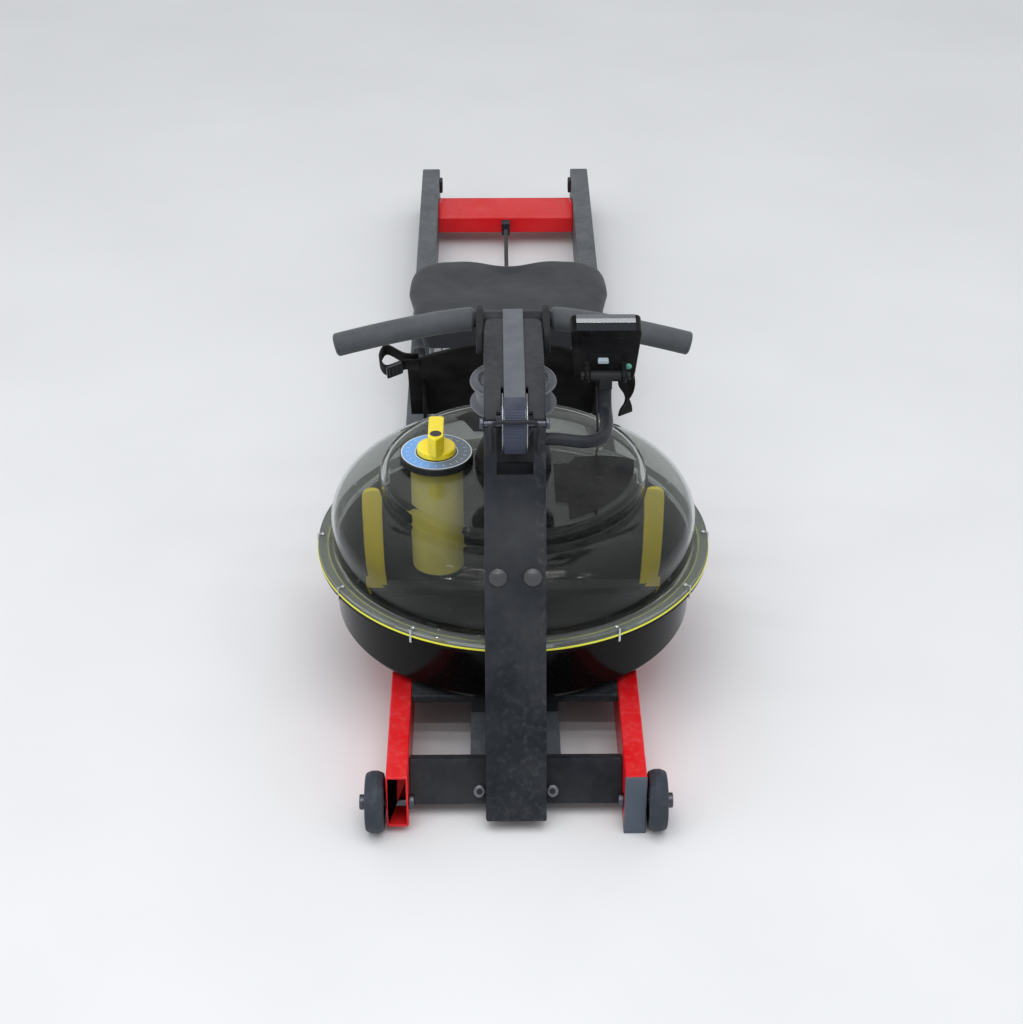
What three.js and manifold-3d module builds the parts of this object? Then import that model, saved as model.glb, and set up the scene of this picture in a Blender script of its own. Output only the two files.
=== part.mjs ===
// Water rowing machine: a water tank with a paddle wheel, a leaning mast that carries the pull belt,
// a sliding seat on two rails, a footboard, a monitor and a dial that sets the water resistance.
// Millimetres, +Z up, X across the machine, Y from the mast towards the rear end of the rails.
// Everything is placed from the axis of the tank on the floor; the last lines centre the whole.
import * as THREE from 'three';
import { mergeVertices } from 'three/addons/utils/BufferGeometryUtils.js';
import Module from 'manifold-3d';

const wasm = await Module();
wasm.setup();

// Shared clearances
const seatGap = 0.3;
const runGap = 0.5;
const overrun = 2;

// Base tubes, the red front part of the frame
const tubeWidth = 28;
const tubeHeight = 80;
const tubeWall = 3;
const tubeBottom = 10;
const frontReach = 123;
const shoulderReach = 176;
const trackHalf = 152;

// Rails, which slip over the base tubes
const railWall = 3.2;
const railSlip = 0.4;
const railBehindTank = 29;
const railRear = 1590;
const railSocket = 120;
const footLength = 60;
const footWidth = 30;
const capWall = 4;
const capFootLength = 46;
const capPlug = 30;
const stopLength = 22;
const stopDepth = 6;
const stopHeight = 26;
const stopInset = 60;

// Cross pieces between the tubes and rails
const crossHeight = 60;
const crossDepth = 26;
const crossBottom = 19;
const crossWall = 4;
const crossBoltReach = 47;
const crossBoltRadius = 8;
const crossBoltHead = 5;
const crossBoltHeight = 18;
const beamWidth = 118;
const beamHeight = 40;
const beamTop = 62;
const beamWall = 4;
const beamPastBar = 37;
const beamFlangeWidth = 132;
const beamFlangeDepth = 8;
const barDepth = 34;
const barHeight = 12;
const barInset = 1;
const middleBarSetBack = 35;
const middleBarDepth = 40;
const middleBarHeight = 40;
const middleBarBottom = 30;
const rearBarDepth = 103;
const rearBarHeight = 31;
const rearBarTop = 62;
const rearBarFront = 1410;
const rearBarWall = 3;
const rearLugThickness = 5;
const rearLugTop = 86;
const lugCrestShare = 0.25;
const hookWidth = 16;
const hookDepth = 22;

// Transport wheels
const wheelRadius = 40;
const wheelWidth = 25;
const wheelHubRadius = 12;
const wheelSetBack = 14;
const wheelCentreX = 181;
const axleRadius = 6;
const axleHeadRadius = 10;
const axleHeadLength = 7;
const wheelTreadInset = 4;

// Water tank
const tankBodyRadius = 252;
const tankLip = 19;
const bowlTaper = 30;
const bowlClear = 0.4;
const bowlCorner = 26;
const bowlHeight = 105.6;
const lipThickness = 7;
const gasketHeight = 3;
const gasketOut = 1.5;
const gasketIn = 14;
const shellWall = 4;
const domeRise = 97;
const shoulderSag = 56;
const humpRise = 24;
const deckRadius = 175;
const humpRun = 13;
const humpRound = 7;
const domeBolts = 12;
const lipBoltRadius = 4;
const lipBoltHeight = 3.5;

// Bearing tower, drive shaft and drum
const shaftRadius = 10;
const shaftBottomGap = 8;
const towerFootRadius = 52;
const towerFootHeight = 10;
const towerNeckRadius = 40;
const towerTopGap = 4;
const drumRadius = 58;
const drumCoreRadius = 50;
const drumHeight = 35;
const drumBelowAxle = 31.3;
const drumFlange = 3;
const drumRingRadius = 50;
const drumRingHeight = 2.5;
const shaftBelowMast = 2;
const bearingRadius = 22;

// Paddle wheel in the tank
const impellerHubRadius = 24;
const impellerHubHeight = 44;
const impellerRise = 17.6;
const armCount = 4;
const armWidth = 26;
const armThickness = 12;
const paddleClear = 44;
const paddleWidth = 27;
const paddleThickness = 9;
const paddleBelowDeck = 42.3;

// Mast, bent from one rectangular tube
const mastWidth = 78;
const mastDepth = 30;
const mastWall = 3;
const mastFoot = 18;
const mastLean = 24.6 * Math.PI / 180;
const mastBend = 46;
const mastEnd = 52;
const mastTopZ = 515;
const mastEndRound = 12;
const mastBoltReach = 22;
const mastBoltRadius = 12;
const mastBoltHead = 6;
const mastBoltShank = 6;
const mastBoltRise = 9.7;
const slotHalfWidth = 23;
const slotBelowAxle = 56.3;
const slotExitBelowAxle = 4.3;
const slotBehindAxle = 8;
const slotPulleyGap = 1.2;

// Guide pulley and belt
const pulleyRadius = 35;
const pulleyFlangeRadius = 38.5;
const pulleyFlange = 1.6;
const pulleyTread = 29;
const pulleyAheadOfKnee = 19.2;
const pulleyAxleRadius = 5;
const pulleyAxleHead = 8;
const pulleyAxleHeadLength = 5;
const beltWidth = 27;
const beltThickness = 2.2;
const beltLift = 0.6;
const beltStraight = 22;
const beltTwistFrom = 0.05;
const beltTwistTo = 0.8;
const beltWrapSteps = 18;
const beltTwistSteps = 10;
const keeperRadius = 2.5;
const keeperHalf = 29;
const keeperRound = 5;
const keeperAngle = 30 * Math.PI / 180;
const keeperOut = 5;
const keeperBelowAxle = 27.3;
const keeperSteps = 18;

// Pull handle and its cradle
const barRadius = 11;
const handleCentreY = 70;
const gripRadius = 16;
const gripInner = 52;
const handleReach = 236;
const handleDroop = 30;
const handleStraight = 58;
const handleBowShare = 1.4;
const handleSteps = 16;
const gripWall = 4.5;
const endLoopWall = 2.2;
const earThickness = 10;
const earGap = 0.3;
const earTop = 22;
const earDrop = 44;
const earReach = 16;

// Resistance dial and valve
const dialFromTower = 2.5;
const dialY = 13;
const dialRadius = 50.5;
const dialHeight = 11;
const dialRimRadius = 47;
const dialRimRise = 1;
const knobSkirtRadius = 27;
const knobSkirtHeight = 9;
const knobBarWidth = 21;
const knobBarLength = 68;
const knobBarHeight = 36;
const knobTip = 12;
const knobRecessRadius = 6;
const knobRecessDepth = 3;
const valveRadius = 36;
const valveRise = 61.6;
const valveWall = 3;
const valveStemRadius = 8;

// Monitor on its arm
const monitorWidth = 92;
const monitorHeight = 88;
const monitorDepth = 34;
const monitorX = 118;
const monitorY = -58;
const monitorAboveMast = 9;
const monitorTilt = 12 * Math.PI / 180;
const monitorTaper = 8;
const monitorRound = 8;
const bezelInset = 7;
const screenHeight = 48;
const screenRecess = 3;
const keyCount = 2;
const keyWidth = 18;
const keyHeight = 9;
const keyDepth = 4;
const keyStandOut = 1.6;
const keyPitch = 32;
const keyTravel = 1;
const pivotDrop = 24;
const pivotBack = 12;
const pivotRadius = 7;
const pivotHeadRadius = 4;
const pivotHeadLength = 5;
const lugThickness = 6;
const lugHalf = 20;
const neckDrop = 16;
const armBendShare = 3;
const armSag = 4;
const armRadius = 8.25;
const armSteps = 16;
const armBelowAxle = 22.3;

// Footboard with heel rests and straps
const boardHalf = 158;
const boardThickness = 5;
const boardSetBack = 30;
const boardTopZ = 334;
const boardTilt = 35 * Math.PI / 180;
const boardLength = 240;
const boardArch = 66;
const boardLegHigh = 120;
const boardLegHalf = 136;
const boardLegWidth = 30;
const boardLegDepth = 90;
const boardLegWall = 5;
const heelWidth = 96;
const heelLength = 120;
const heelThickness = 8;
const heelCupHeight = 34;
const heelX = 78;
const heelStart = 96;
const heelCupShare = 0.55;
const strapWidth = 30;
const strapThickness = 3;
const strapAlong = 62;
const strapRise = 46;
const strapReach = 202;
const strapHold = 140;
const strapClear = 1;
const strapSteps = 20;
const tailWidth = 27;
const tailAlong = 76;
const tailOut = 178;
const tailBend = 20;
const tailLength = 60;
const tailTurn = 0.8 * Math.PI;
const tailFlatShare = 0.4;
const tailSteps = 16;

// Seat and its carriage
const seatWidth = 338;
const seatDepth = 228;
const seatRise = 123.4;
const seatThickness = 46;
const seatCentreY = 772;
const seatDip = 18;
const seatLobe = 10;
const seatRound = 54;
const seatLip = 15;
const seatLipDrop = 18;
const seatFrontShare = 0.8;
const seatSideShare = 0.94;
const seatCornerShare = 1.2;
const carriageHalf = 130;
const forkPastPlate = 2;
const plateThickness = 6;
const forkWall = 3;
const forkInner = 112;
const forkLength = 46;
const forkDrop = 68;
const rollerRadius = 22;
const rollerWidth = 20;
const forkLipGap = 2;
const rollerAxleRadius = 5;
const rollerHubRadius = 9;
const rollerCrown = 1;
const rollerNut = 2;

// Recoil cord and sensor lead
const recoilRadius = 4;
const recoilZ = 45;
const leadRadius = 1.6;
const leadSag = 18;
const leadSteps = 14;

// Round detail
const roundSides = 24;
const smallSides = 12;
const barSides = 12;
const cordSides = 8;
const tankSides = 40;
const hexSides = 6;
const arcSteps = 4;
const curveSteps = 4;
const weldDistance = 1e-4;
const fullTurn = 2 * Math.PI;
const quarterTurn = Math.PI / 2;

// Colours and finishes
function finish(color, roughness, metalness) {
  return new THREE.MeshStandardMaterial({ color, roughness, metalness });
}

const redPaint = () => finish(0xb8050a, 0.3, 0.1);
const slatePaint = () => finish(0x626a72, 0.5, 0.3);
const blackPaint = () => finish(0x1c212a, 0.5, 0.2);
const blackPlastic = () => finish(0x141517, 0.6, 0);
const blackRubber = () => finish(0x1a1b1d, 0.9, 0);
const steel = () => finish(0xb4b8bd, 0.3, 0.9);
const yellowPlastic = () => finish(0xf2d21a, 0.4, 0);
const greyWebbing = () => finish(0x70747c, 0.9, 0);
const greyPlastic = () => finish(0x4d5560, 0.6, 0);
const smokedPlastic = () => {
  const material = finish(0x4a4c4e, 0.1, 0);
  material.transparent = true;
  material.opacity = 0.4;
  return material;
};

const machine = new THREE.Group();

// Places that follow from the sizes. The leaning mast clears both the tank's edge and its shoulder,
// which sets the front; the rails start behind the tank.
const tankRadius = tankBodyRadius + tankLip;
const bowlBottomRadius = tankBodyRadius - bowlTaper;
const shoulderRadius = deckRadius + humpRun;
const paddleOuter = tankBodyRadius - paddleClear;
const paddleInner = paddleOuter - paddleWidth;
const tubeFront = -Math.max(tankRadius + frontReach, shoulderRadius + shoulderReach);
const mastFootFront = tubeFront;
const wheelCentreY = tubeFront + wheelSetBack;
const barFront = barInset - bowlBottomRadius;
const beamRear = barFront + barDepth + beamPastBar;
const railFront = tankRadius + railBehindTank;
const middleBarFront = railFront + middleBarSetBack;
const boardTopY = railFront + boardSetBack;
const dialX = -(towerFootRadius + dialFromTower + dialRadius);

// Levels: the tank stands on the tubes, the drum and the slot hang from the pulley's axle
const tubeTop = tubeBottom + tubeHeight;
const railHalfWidth = tubeWidth / 2 + railSlip + railWall;
const railBottom = tubeBottom - railSlip - railWall;
const railTop = tubeTop + railSlip + railWall;
const bowlBottom = tubeTop + bowlClear;
const bowlTop = bowlBottom + bowlHeight;
const domeFoot = bowlTop + gasketHeight + seatGap;
const domeLipTop = domeFoot + lipThickness;
const shoulderTop = domeLipTop + domeRise - lipThickness;
const deckTop = shoulderTop + humpRise;
const impellerBottom = bowlBottom + impellerRise;
const paddleTop = deckTop - paddleBelowDeck;
const valveBottom = bowlBottom + valveRise;
const mastHalf = mastDepth / 2;
const mastTopCentre = mastTopZ - mastHalf;
const mastFootY = mastFootFront + mastHalf / Math.cos(mastLean);
const kneeY = mastFootY + (mastTopCentre - mastFoot) * Math.tan(mastLean);
const mastBoltZ = shoulderTop + mastBoltRise;
const beltZ = mastTopZ + beltLift + beltThickness / 2;
const handleZ = beltZ - beltThickness / 2 - seatGap - barRadius;
const pulleyCentreY = kneeY - pulleyAheadOfKnee;
const pulleyCentreZ = beltZ - beltThickness / 2 - seatGap - pulleyRadius;
const slotRearY = pulleyCentreY + slotBehindAxle;
const slotBottomZ = pulleyCentreZ - slotBelowAxle;
const slotExitTop = pulleyCentreZ - slotExitBelowAxle;
const keeperFootZ = pulleyCentreZ - keeperBelowAxle;
const armStartY = pulleyCentreY;
const armStartZ = pulleyCentreZ - armBelowAxle;
const drumTop = pulleyCentreZ - drumBelowAxle;
const drumBottom = drumTop - drumHeight;
const shaftTop = mastTopZ - mastDepth - shaftBelowMast;
const monitorZ = mastTopZ + monitorAboveMast;
const seatTop = railTop + seatRise;
const rollerSpread = seatDepth / 2 - seatLip - forkLipGap - forkLength / 2;
const carriageDepth = 2 * (rollerSpread + forkLength / 2 - forkPastPlate);

// Solids: closed meshes that can be joined and cut

function solidOf(geometry) {
  const bare = new THREE.BufferGeometry();
  bare.setAttribute('position', geometry.getAttribute('position').clone());
  if (geometry.index) bare.setIndex(geometry.index.clone());
  const merged = mergeVertices(bare, weldDistance);
  const index = merged.index.array;
  const kept = [];
  for (let i = 0; i < index.length; i += 3) {
    const [a, b, c] = [index[i], index[i + 1], index[i + 2]];
    if (a !== b && b !== c && c !== a) kept.push(a, b, c);
  }
  const mesh = new wasm.Mesh({
    numProp: 3,
    vertProperties: new Float32Array(merged.attributes.position.array),
    triVerts: new Uint32Array(kept),
  });
  return new wasm.Manifold(mesh);
}

function geometryOf(solid) {
  const mesh = solid.getMesh();
  const geometry = new THREE.BufferGeometry();
  const places = new Float32Array(mesh.vertProperties);
  geometry.setAttribute('position', new THREE.BufferAttribute(places, mesh.numProp));
  geometry.setIndex(new THREE.BufferAttribute(new Uint32Array(mesh.triVerts), 1));
  return geometry;
}

function join(first, ...others) {
  return others.reduce((sum, other) => sum.add(other), first);
}

function cut(first, ...others) {
  return others.reduce((rest, other) => rest.subtract(other), first);
}

function add(name, solid, material, parent = machine) {
  const mesh = new THREE.Mesh(geometryOf(solid), material);
  mesh.name = name;
  parent.add(mesh);
  return mesh;
}

function block(low, high) {
  const size = high.map((value, i) => value - low[i]);
  const geometry = new THREE.BoxGeometry(...size);
  geometry.translate(...low.map((value, i) => value + size[i] / 2));
  return solidOf(geometry);
}

function centredBlock([x, y, z], [w, d, h]) {
  return block([x - w / 2, y - d / 2, z - h / 2], [x + w / 2, y + d / 2, z + h / 2]);
}

function rod(axis, radius, from, to, centre, sides = roundSides) {
  const geometry = new THREE.CylinderGeometry(radius, radius, to - from, sides);
  geometry.translate(0, (from + to) / 2, 0);
  if (axis === 'x') geometry.rotateZ(-quarterTurn);
  if (axis === 'z') geometry.rotateX(quarterTurn);
  geometry.translate(...centre);
  return solidOf(geometry);
}

// A rod along X between two distances from the middle, on one side of the machine
function sideRod(side, radius, a, b, centre, sides = smallSides) {
  return rod('x', radius, Math.min(side * a, side * b), Math.max(side * a, side * b), centre, sides);
}

function revolve(profile, sides = tankSides) {
  const geometry = new THREE.LatheGeometry(profile.map(([r, z]) => new THREE.Vector2(r, z)), sides);
  geometry.rotateX(quarterTurn);
  return solidOf(geometry);
}

// A closed outline with rounded corners; each corner is [x, y, radius]
function outline(corners) {
  const shape = new THREE.Shape();
  const count = corners.length;
  corners.forEach(([x, y, r = 0], i) => {
    const [px, py] = corners[(i + count - 1) % count];
    const [nx, ny] = corners[(i + 1) % count];
    const towards = (tx, ty) => {
      const length = Math.hypot(tx - x, ty - y);
      const step = Math.min(r, length / 2);
      return [x + (tx - x) * step / length, y + (ty - y) * step / length];
    };
    const [ax, ay] = towards(px, py);
    const [bx, by] = towards(nx, ny);
    if (i === 0) shape.moveTo(ax, ay);
    else shape.lineTo(ax, ay);
    if (r > 0) shape.quadraticCurveTo(x, y, bx, by);
  });
  shape.closePath();
  return shape;
}

const viewAxes = {
  side: [[0, 1, 0], [0, 0, 1], [1, 0, 0]],
  front: [[1, 0, 0], [0, 0, 1], [0, -1, 0]],
  top: [[1, 0, 0], [0, 1, 0], [0, 0, 1]],
};

// Pull an outline drawn in one view through from one depth to another
function pull(view, shape, from, to, curveSegments = curveSteps) {
  const options = { depth: to - from, bevelEnabled: false, curveSegments };
  const geometry = new THREE.ExtrudeGeometry(shape, options);
  geometry.translate(0, 0, from);
  const [u, v, w] = viewAxes[view].map((axis) => new THREE.Vector3(...axis));
  geometry.applyMatrix4(new THREE.Matrix4().makeBasis(u, v, w));
  return solidOf(geometry);
}

function rectangle(x0, y0, x1, y1, r = 0) {
  return outline([[x0, y0, r], [x1, y0, r], [x1, y1, r], [x0, y1, r]]);
}

// A strip of even thickness on both sides of a drawn line
function strip(points, half) {
  const edge = (side) => points.map((point, i) => {
    const before = points[Math.max(i - 1, 0)];
    const after = points[Math.min(i + 1, points.length - 1)];
    const direction = after.clone().sub(before).normalize();
    return new THREE.Vector2(point.x - direction.y * half * side, point.y + direction.x * half * side);
  });
  return new THREE.Shape([...edge(-1), ...edge(1).reverse()]);
}

// A round bar along a smooth line through points
function roundBar(points, radius, steps, sides = smallSides) {
  const line = new THREE.CatmullRomCurve3(points.map((p) => new THREE.Vector3(...p)), false, 'centripetal');
  const ring = new THREE.Shape();
  ring.absarc(0, 0, radius, 0, fullTurn);
  const options = { steps, extrudePath: line, bevelEnabled: false, curveSegments: sides / 2 };
  return solidOf(new THREE.ExtrudeGeometry(ring, options));
}

// A flat band that may twist: each station has a centre, the direction of its width and of its thickness
function band(stations, width, thickness) {
  const positions = [];
  const index = [];
  for (const { centre, across, through } of stations) {
    for (const [a, b] of [[-1, -1], [1, -1], [1, 1], [-1, 1]]) {
      const corner = centre.clone();
      corner.addScaledVector(across, a * width / 2);
      corner.addScaledVector(through, b * thickness / 2);
      positions.push(corner.x, corner.y, corner.z);
    }
  }
  const last = (stations.length - 1) * 4;
  for (let s = 0; s < last; s += 4) {
    for (let k = 0; k < 4; k += 1) {
      const n = (k + 1) % 4;
      index.push(s + k, s + n, s + 4 + n, s + k, s + 4 + n, s + 4 + k);
    }
  }
  index.push(0, 2, 1, 0, 3, 2, last, last + 1, last + 2, last, last + 2, last + 3);
  const geometry = new THREE.BufferGeometry();
  geometry.setAttribute('position', new THREE.Float32BufferAttribute(positions, 3));
  geometry.setIndex(index);
  const solid = solidOf(geometry);
  return solid.volume() < 0 ? solidOf(flipped(geometry)) : solid;
}

function flipped(geometry) {
  const turned = geometry.clone();
  const index = turned.index.array;
  for (let i = 0; i < index.length; i += 3) [index[i], index[i + 1]] = [index[i + 1], index[i]];
  return turned;
}

// Frame: base tubes, rails, cross pieces

const tubeInner = trackHalf - tubeWidth / 2;
const railInner = trackHalf - railHalfWidth;

function baseTube(side) {
  const x = side * trackHalf;
  const half = tubeWidth / 2;
  const rear = railFront + railSocket;
  const outer = block([x - half, tubeFront, tubeBottom], [x + half, rear, tubeTop]);
  const bore = block(
    [x - half + tubeWall, tubeFront - overrun, tubeBottom + tubeWall],
    [x + half - tubeWall, rear + overrun, tubeTop - tubeWall],
  );
  const centre = [0, wheelCentreY, wheelRadius];
  const axleHole = rod('x', axleRadius + seatGap, x - tubeWidth, x + tubeWidth, centre, smallSides);
  return cut(outer, bore, axleHole);
}

function rail(side) {
  const x = side * trackHalf;
  const outer = block([x - railHalfWidth, railFront, railBottom], [x + railHalfWidth, railRear, railTop]);
  const inner = railHalfWidth - railWall;
  const bore = block(
    [x - inner, railFront - overrun, railBottom + railWall],
    [x + inner, railRear - railWall, railTop - railWall],
  );
  return cut(outer, bore);
}

function endCap(side) {
  const x = side * trackHalf;
  const half = tubeWidth / 2;
  const face = block([x - half, tubeFront - seatGap - capWall, 0], [x + half, tubeFront - seatGap, tubeTop]);
  const foot = block(
    [x - half, tubeFront - seatGap - overrun / 2, 0],
    [x + half, tubeFront + capFootLength, tubeBottom - seatGap],
  );
  const inner = half - tubeWall - seatGap;
  const plug = block(
    [x - inner, tubeFront - seatGap - overrun / 2, tubeBottom + tubeWall + seatGap],
    [x + inner, tubeFront + capPlug, tubeTop - tubeWall - seatGap],
  );
  const centre = [0, wheelCentreY, wheelRadius];
  const axleWay = rod('x', axleRadius + runGap, x - tubeWidth, x + tubeWidth, centre, smallSides);
  return cut(join(face, foot, plug), axleWay);
}

// The front cross member and the beam behind it lean with the mast. What follows is drawn upright,
// with the mast's rear face at y = 0 and the lower edge at z = 0.
const mastSlant = mastDepth / Math.cos(mastLean);

function behindMast(solid) {
  const y = mastFootFront + (crossBottom - mastFoot) * Math.tan(mastLean) + mastSlant;
  return solid.rotate([-THREE.MathUtils.radToDeg(mastLean), 0, 0]).translate([0, y, crossBottom]);
}

function frontCrossMember() {
  const half = tubeInner - seatGap;
  const tube = block([-half, seatGap, 0], [half, crossDepth, crossHeight]);
  const bore = block(
    [-half - overrun, seatGap + crossWall, crossWall],
    [half + overrun, crossDepth - crossWall, crossHeight - crossWall],
  );
  const heads = [-1, 1].map((side) => rod(
    'y', crossBoltRadius, seatGap - crossBoltHead, seatGap + overrun,
    [side * crossBoltReach, 0, crossBoltHeight], smallSides,
  ));
  return behindMast(cut(join(tube, ...heads), bore));
}

function centreBeam() {
  const front = mastFootFront;
  const half = beamWidth / 2;
  const bottom = beamTop - beamHeight;
  const channel = cut(
    block([-half, front, bottom], [half, beamRear, beamTop]),
    block(
      [-half + beamWall, front - overrun, bottom - overrun],
      [half - beamWall, beamRear + overrun, beamTop - beamWall],
    ),
  );
  const plate = behindMast(block(
    [-beamFlangeWidth / 2, crossDepth + seatGap, 0],
    [beamFlangeWidth / 2, crossDepth + beamFlangeDepth, crossHeight - crossWall],
  ));
  const space = behindMast(block(
    [-beamFlangeWidth, -beamFlangeWidth, -beamFlangeWidth],
    [beamFlangeWidth, crossDepth + seatGap, beamFlangeWidth],
  ));
  return join(cut(channel, space), plate);
}

function tankCrossBar() {
  const half = tubeInner - seatGap;
  const top = bowlBottom - seatGap;
  const bar = block([-half, barFront, top - barHeight], [half, barFront + barDepth, top]);
  const post = block(
    [-beamWidth / 2, barFront, beamTop + seatGap],
    [beamWidth / 2, barFront + barDepth, top - barHeight + overrun],
  );
  return join(bar, post);
}

function middleCrossMember() {
  const half = tubeInner - (railHalfWidth - tubeWidth / 2) - seatGap;
  const top = middleBarBottom + middleBarHeight;
  const rear = middleBarFront + middleBarDepth;
  const bar = block([-half, middleBarFront, middleBarBottom], [half, rear, top]);
  const bore = block(
    [-half - overrun, middleBarFront + crossWall, middleBarBottom + crossWall],
    [half + overrun, rear - crossWall, top - crossWall],
  );
  const eye = block(
    [-hookWidth / 2, rear - crossWall / 2, middleBarBottom],
    [hookWidth / 2, rear + hookDepth, top],
  );
  return join(cut(bar, bore), eye);
}

function rearCrossbar() {
  const half = railInner - seatGap;
  const rear = rearBarFront + rearBarDepth;
  const bottom = rearBarTop - rearBarHeight;
  const bar = cut(
    block([-half, rearBarFront, bottom], [half, rear, rearBarTop]),
    block(
      [-half - overrun, rearBarFront + rearBarWall, bottom - overrun],
      [half + overrun, rear - rearBarWall, rearBarTop - rearBarWall],
    ),
  );
  const lug = (side) => {
    const inner = side * (half - rearLugThickness);
    const shape = outline([
      [rearBarFront, bottom, 0], [rear, bottom, 0], [rear, rearBarTop, 0],
      [rearBarFront + rearBarDepth * lugCrestShare, rearLugTop, rearLugThickness],
      [rearBarFront, rearBarTop, 0],
    ]);
    return pull('side', shape, Math.min(inner, side * half), Math.max(inner, side * half));
  };
  const hook = block(
    [-hookWidth / 2, rearBarFront - hookDepth, bottom + rearBarWall],
    [hookWidth / 2, rearBarFront + rearBarWall / 2, rearBarTop - rearBarWall],
  );
  return join(bar, lug(-1), lug(1), hook);
}

function rearFoot(side) {
  const x = side * trackHalf;
  const y = railRear - footLength;
  const shape = rectangle(x - footWidth / 2, y, x + footWidth / 2, railRear, railWall);
  return pull('top', shape, 0, railBottom - seatGap);
}

function railStop(side) {
  const face = side * (railInner - seatGap);
  const inner = face - side * stopDepth;
  const y = railRear - stopInset;
  const z = (rearBarTop + railTop) / 2;
  return block(
    [Math.min(face, inner), y, z - stopHeight / 2],
    [Math.max(face, inner), y + stopLength, z + stopHeight / 2],
  );
}

// Transport wheels on bolts through the ends of the base tubes

function wheelAxle(side) {
  const bolt = (a, b, radius) => sideRod(side, radius, a, b, [0, wheelCentreY, wheelRadius]);
  const inner = tubeInner - seatGap;
  const outer = wheelCentreX + wheelWidth / 2 + runGap;
  return join(
    bolt(inner - axleHeadLength, outer + axleHeadLength, axleRadius),
    bolt(inner - axleHeadLength, inner, axleHeadRadius),
    bolt(outer, outer + axleHeadLength, axleHeadRadius),
    bolt(trackHalf + tubeWidth / 2 + seatGap, wheelCentreX - wheelWidth / 2 - runGap, axleHeadRadius),
  );
}

function wheel(side) {
  const half = wheelWidth / 2;
  const bore = axleRadius + runGap;
  const treadEdge = wheelRadius - wheelTreadInset;
  const dish = wheelTreadInset / 2;
  const profile = [
    [bore, -half], [wheelHubRadius, -half + dish], [treadEdge, -half], [wheelRadius, -half + wheelTreadInset],
    [wheelRadius, half - wheelTreadInset], [treadEdge, half], [wheelHubRadius, half - dish], [bore, half],
    [bore, -half],
  ];
  const geometry = new THREE.LatheGeometry(profile.map(([r, z]) => new THREE.Vector2(r, z)), roundSides);
  geometry.rotateZ(-quarterTurn);
  geometry.translate(side * wheelCentreX, wheelCentreY, wheelRadius);
  return solidOf(geometry);
}

// Water tank: black bowl, seal and smoked dome

function arc(cx, cy, rx, ry, from, to, steps = arcSteps) {
  return Array.from({ length: steps + 1 }, (_, i) => {
    const angle = from + (to - from) * i / steps;
    return [cx + rx * Math.cos(angle), cy + ry * Math.sin(angle)];
  });
}

function bowlOutside(inset) {
  const side = tankBodyRadius - inset;
  const corner = bowlCorner - inset;
  const low = bowlBottom + inset;
  return [
    ...arc(bowlBottomRadius, low + corner, corner, corner, -quarterTurn, -quarterTurn / 3),
    [side, bowlTop - lipThickness - inset],
  ];
}

function bowl() {
  const outside = bowlOutside(0);
  const inside = bowlOutside(shellWall).reverse();
  return revolve([
    [0, bowlBottom], ...outside, [tankBodyRadius, bowlTop - lipThickness],
    [tankRadius, bowlTop - lipThickness], [tankRadius, bowlTop], [tankBodyRadius - shellWall, bowlTop],
    ...inside, [0, bowlBottom + shellWall],
  ]);
}

function gasket() {
  const low = bowlTop + seatGap / 2;
  const high = low + gasketHeight;
  return revolve([
    [tankRadius - gasketIn, low], [tankRadius + gasketOut, low], [tankRadius + gasketOut, high],
    [tankRadius - gasketIn, high], [tankRadius - gasketIn, low],
  ]);
}

function domeCurve(inset) {
  const side = tankBodyRadius - inset;
  const centreR = shoulderRadius;
  const centreZ = shoulderTop - shoulderSag;
  const shoulder = arc(centreR, centreZ, side - centreR, shoulderSag - inset, 0, quarterTurn);
  const crestR = deckRadius - humpRound - inset;
  return [
    ...shoulder,
    [deckRadius + humpRound - inset, shoulderTop + humpRound - inset],
    ...arc(crestR, deckTop - humpRound - inset, humpRound, humpRound, 0, quarterTurn, arcSteps / 2),
  ];
}

function dome() {
  const outside = domeCurve(0);
  const inside = domeCurve(shellWall).reverse();
  const bore = shaftRadius + runGap;
  const shell = revolve([
    [bore, deckTop - shellWall], ...inside, [tankBodyRadius - shellWall, domeFoot], [tankRadius, domeFoot],
    [tankRadius, domeLipTop], [tankBodyRadius, domeLipTop], ...outside, [bore, deckTop],
    [bore, deckTop - shellWall],
  ]);
  const valveHole = rod(
    'z', valveStemRadius + runGap, deckTop - humpRise, deckTop + overrun, [dialX, dialY, 0], smallSides,
  );
  const bolts = Array.from({ length: domeBolts }, (_, i) => {
    const angle = -quarterTurn + i * fullTurn / domeBolts;
    const r = (tankRadius + tankBodyRadius) / 2;
    const place = [r * Math.cos(angle), r * Math.sin(angle), 0];
    return rod('z', lipBoltRadius, domeLipTop - overrun, domeLipTop + lipBoltHeight, place, hexSides);
  });
  return join(cut(shell, valveHole), ...bolts);
}

// Drive: bearing tower on the deck, shaft, drum and paddle wheel

function bearingTower() {
  const bore = shaftRadius + runGap;
  const low = deckTop + seatGap;
  const high = drumBottom - towerTopGap;
  return revolve([
    [bore, low], [towerFootRadius, low], [towerFootRadius, low + towerFootHeight],
    [towerNeckRadius + towerFootHeight, low + 2 * towerFootHeight],
    [towerNeckRadius, low + 4 * towerFootHeight],
    [towerNeckRadius, high - towerTopGap], [bearingRadius, high - towerTopGap], [bearingRadius, high],
    [bore, high], [bore, low],
  ], roundSides);
}

function driveShaft() {
  return rod('z', shaftRadius, bowlBottom + shellWall + shaftBottomGap, shaftTop, [0, 0, 0], smallSides);
}

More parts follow.
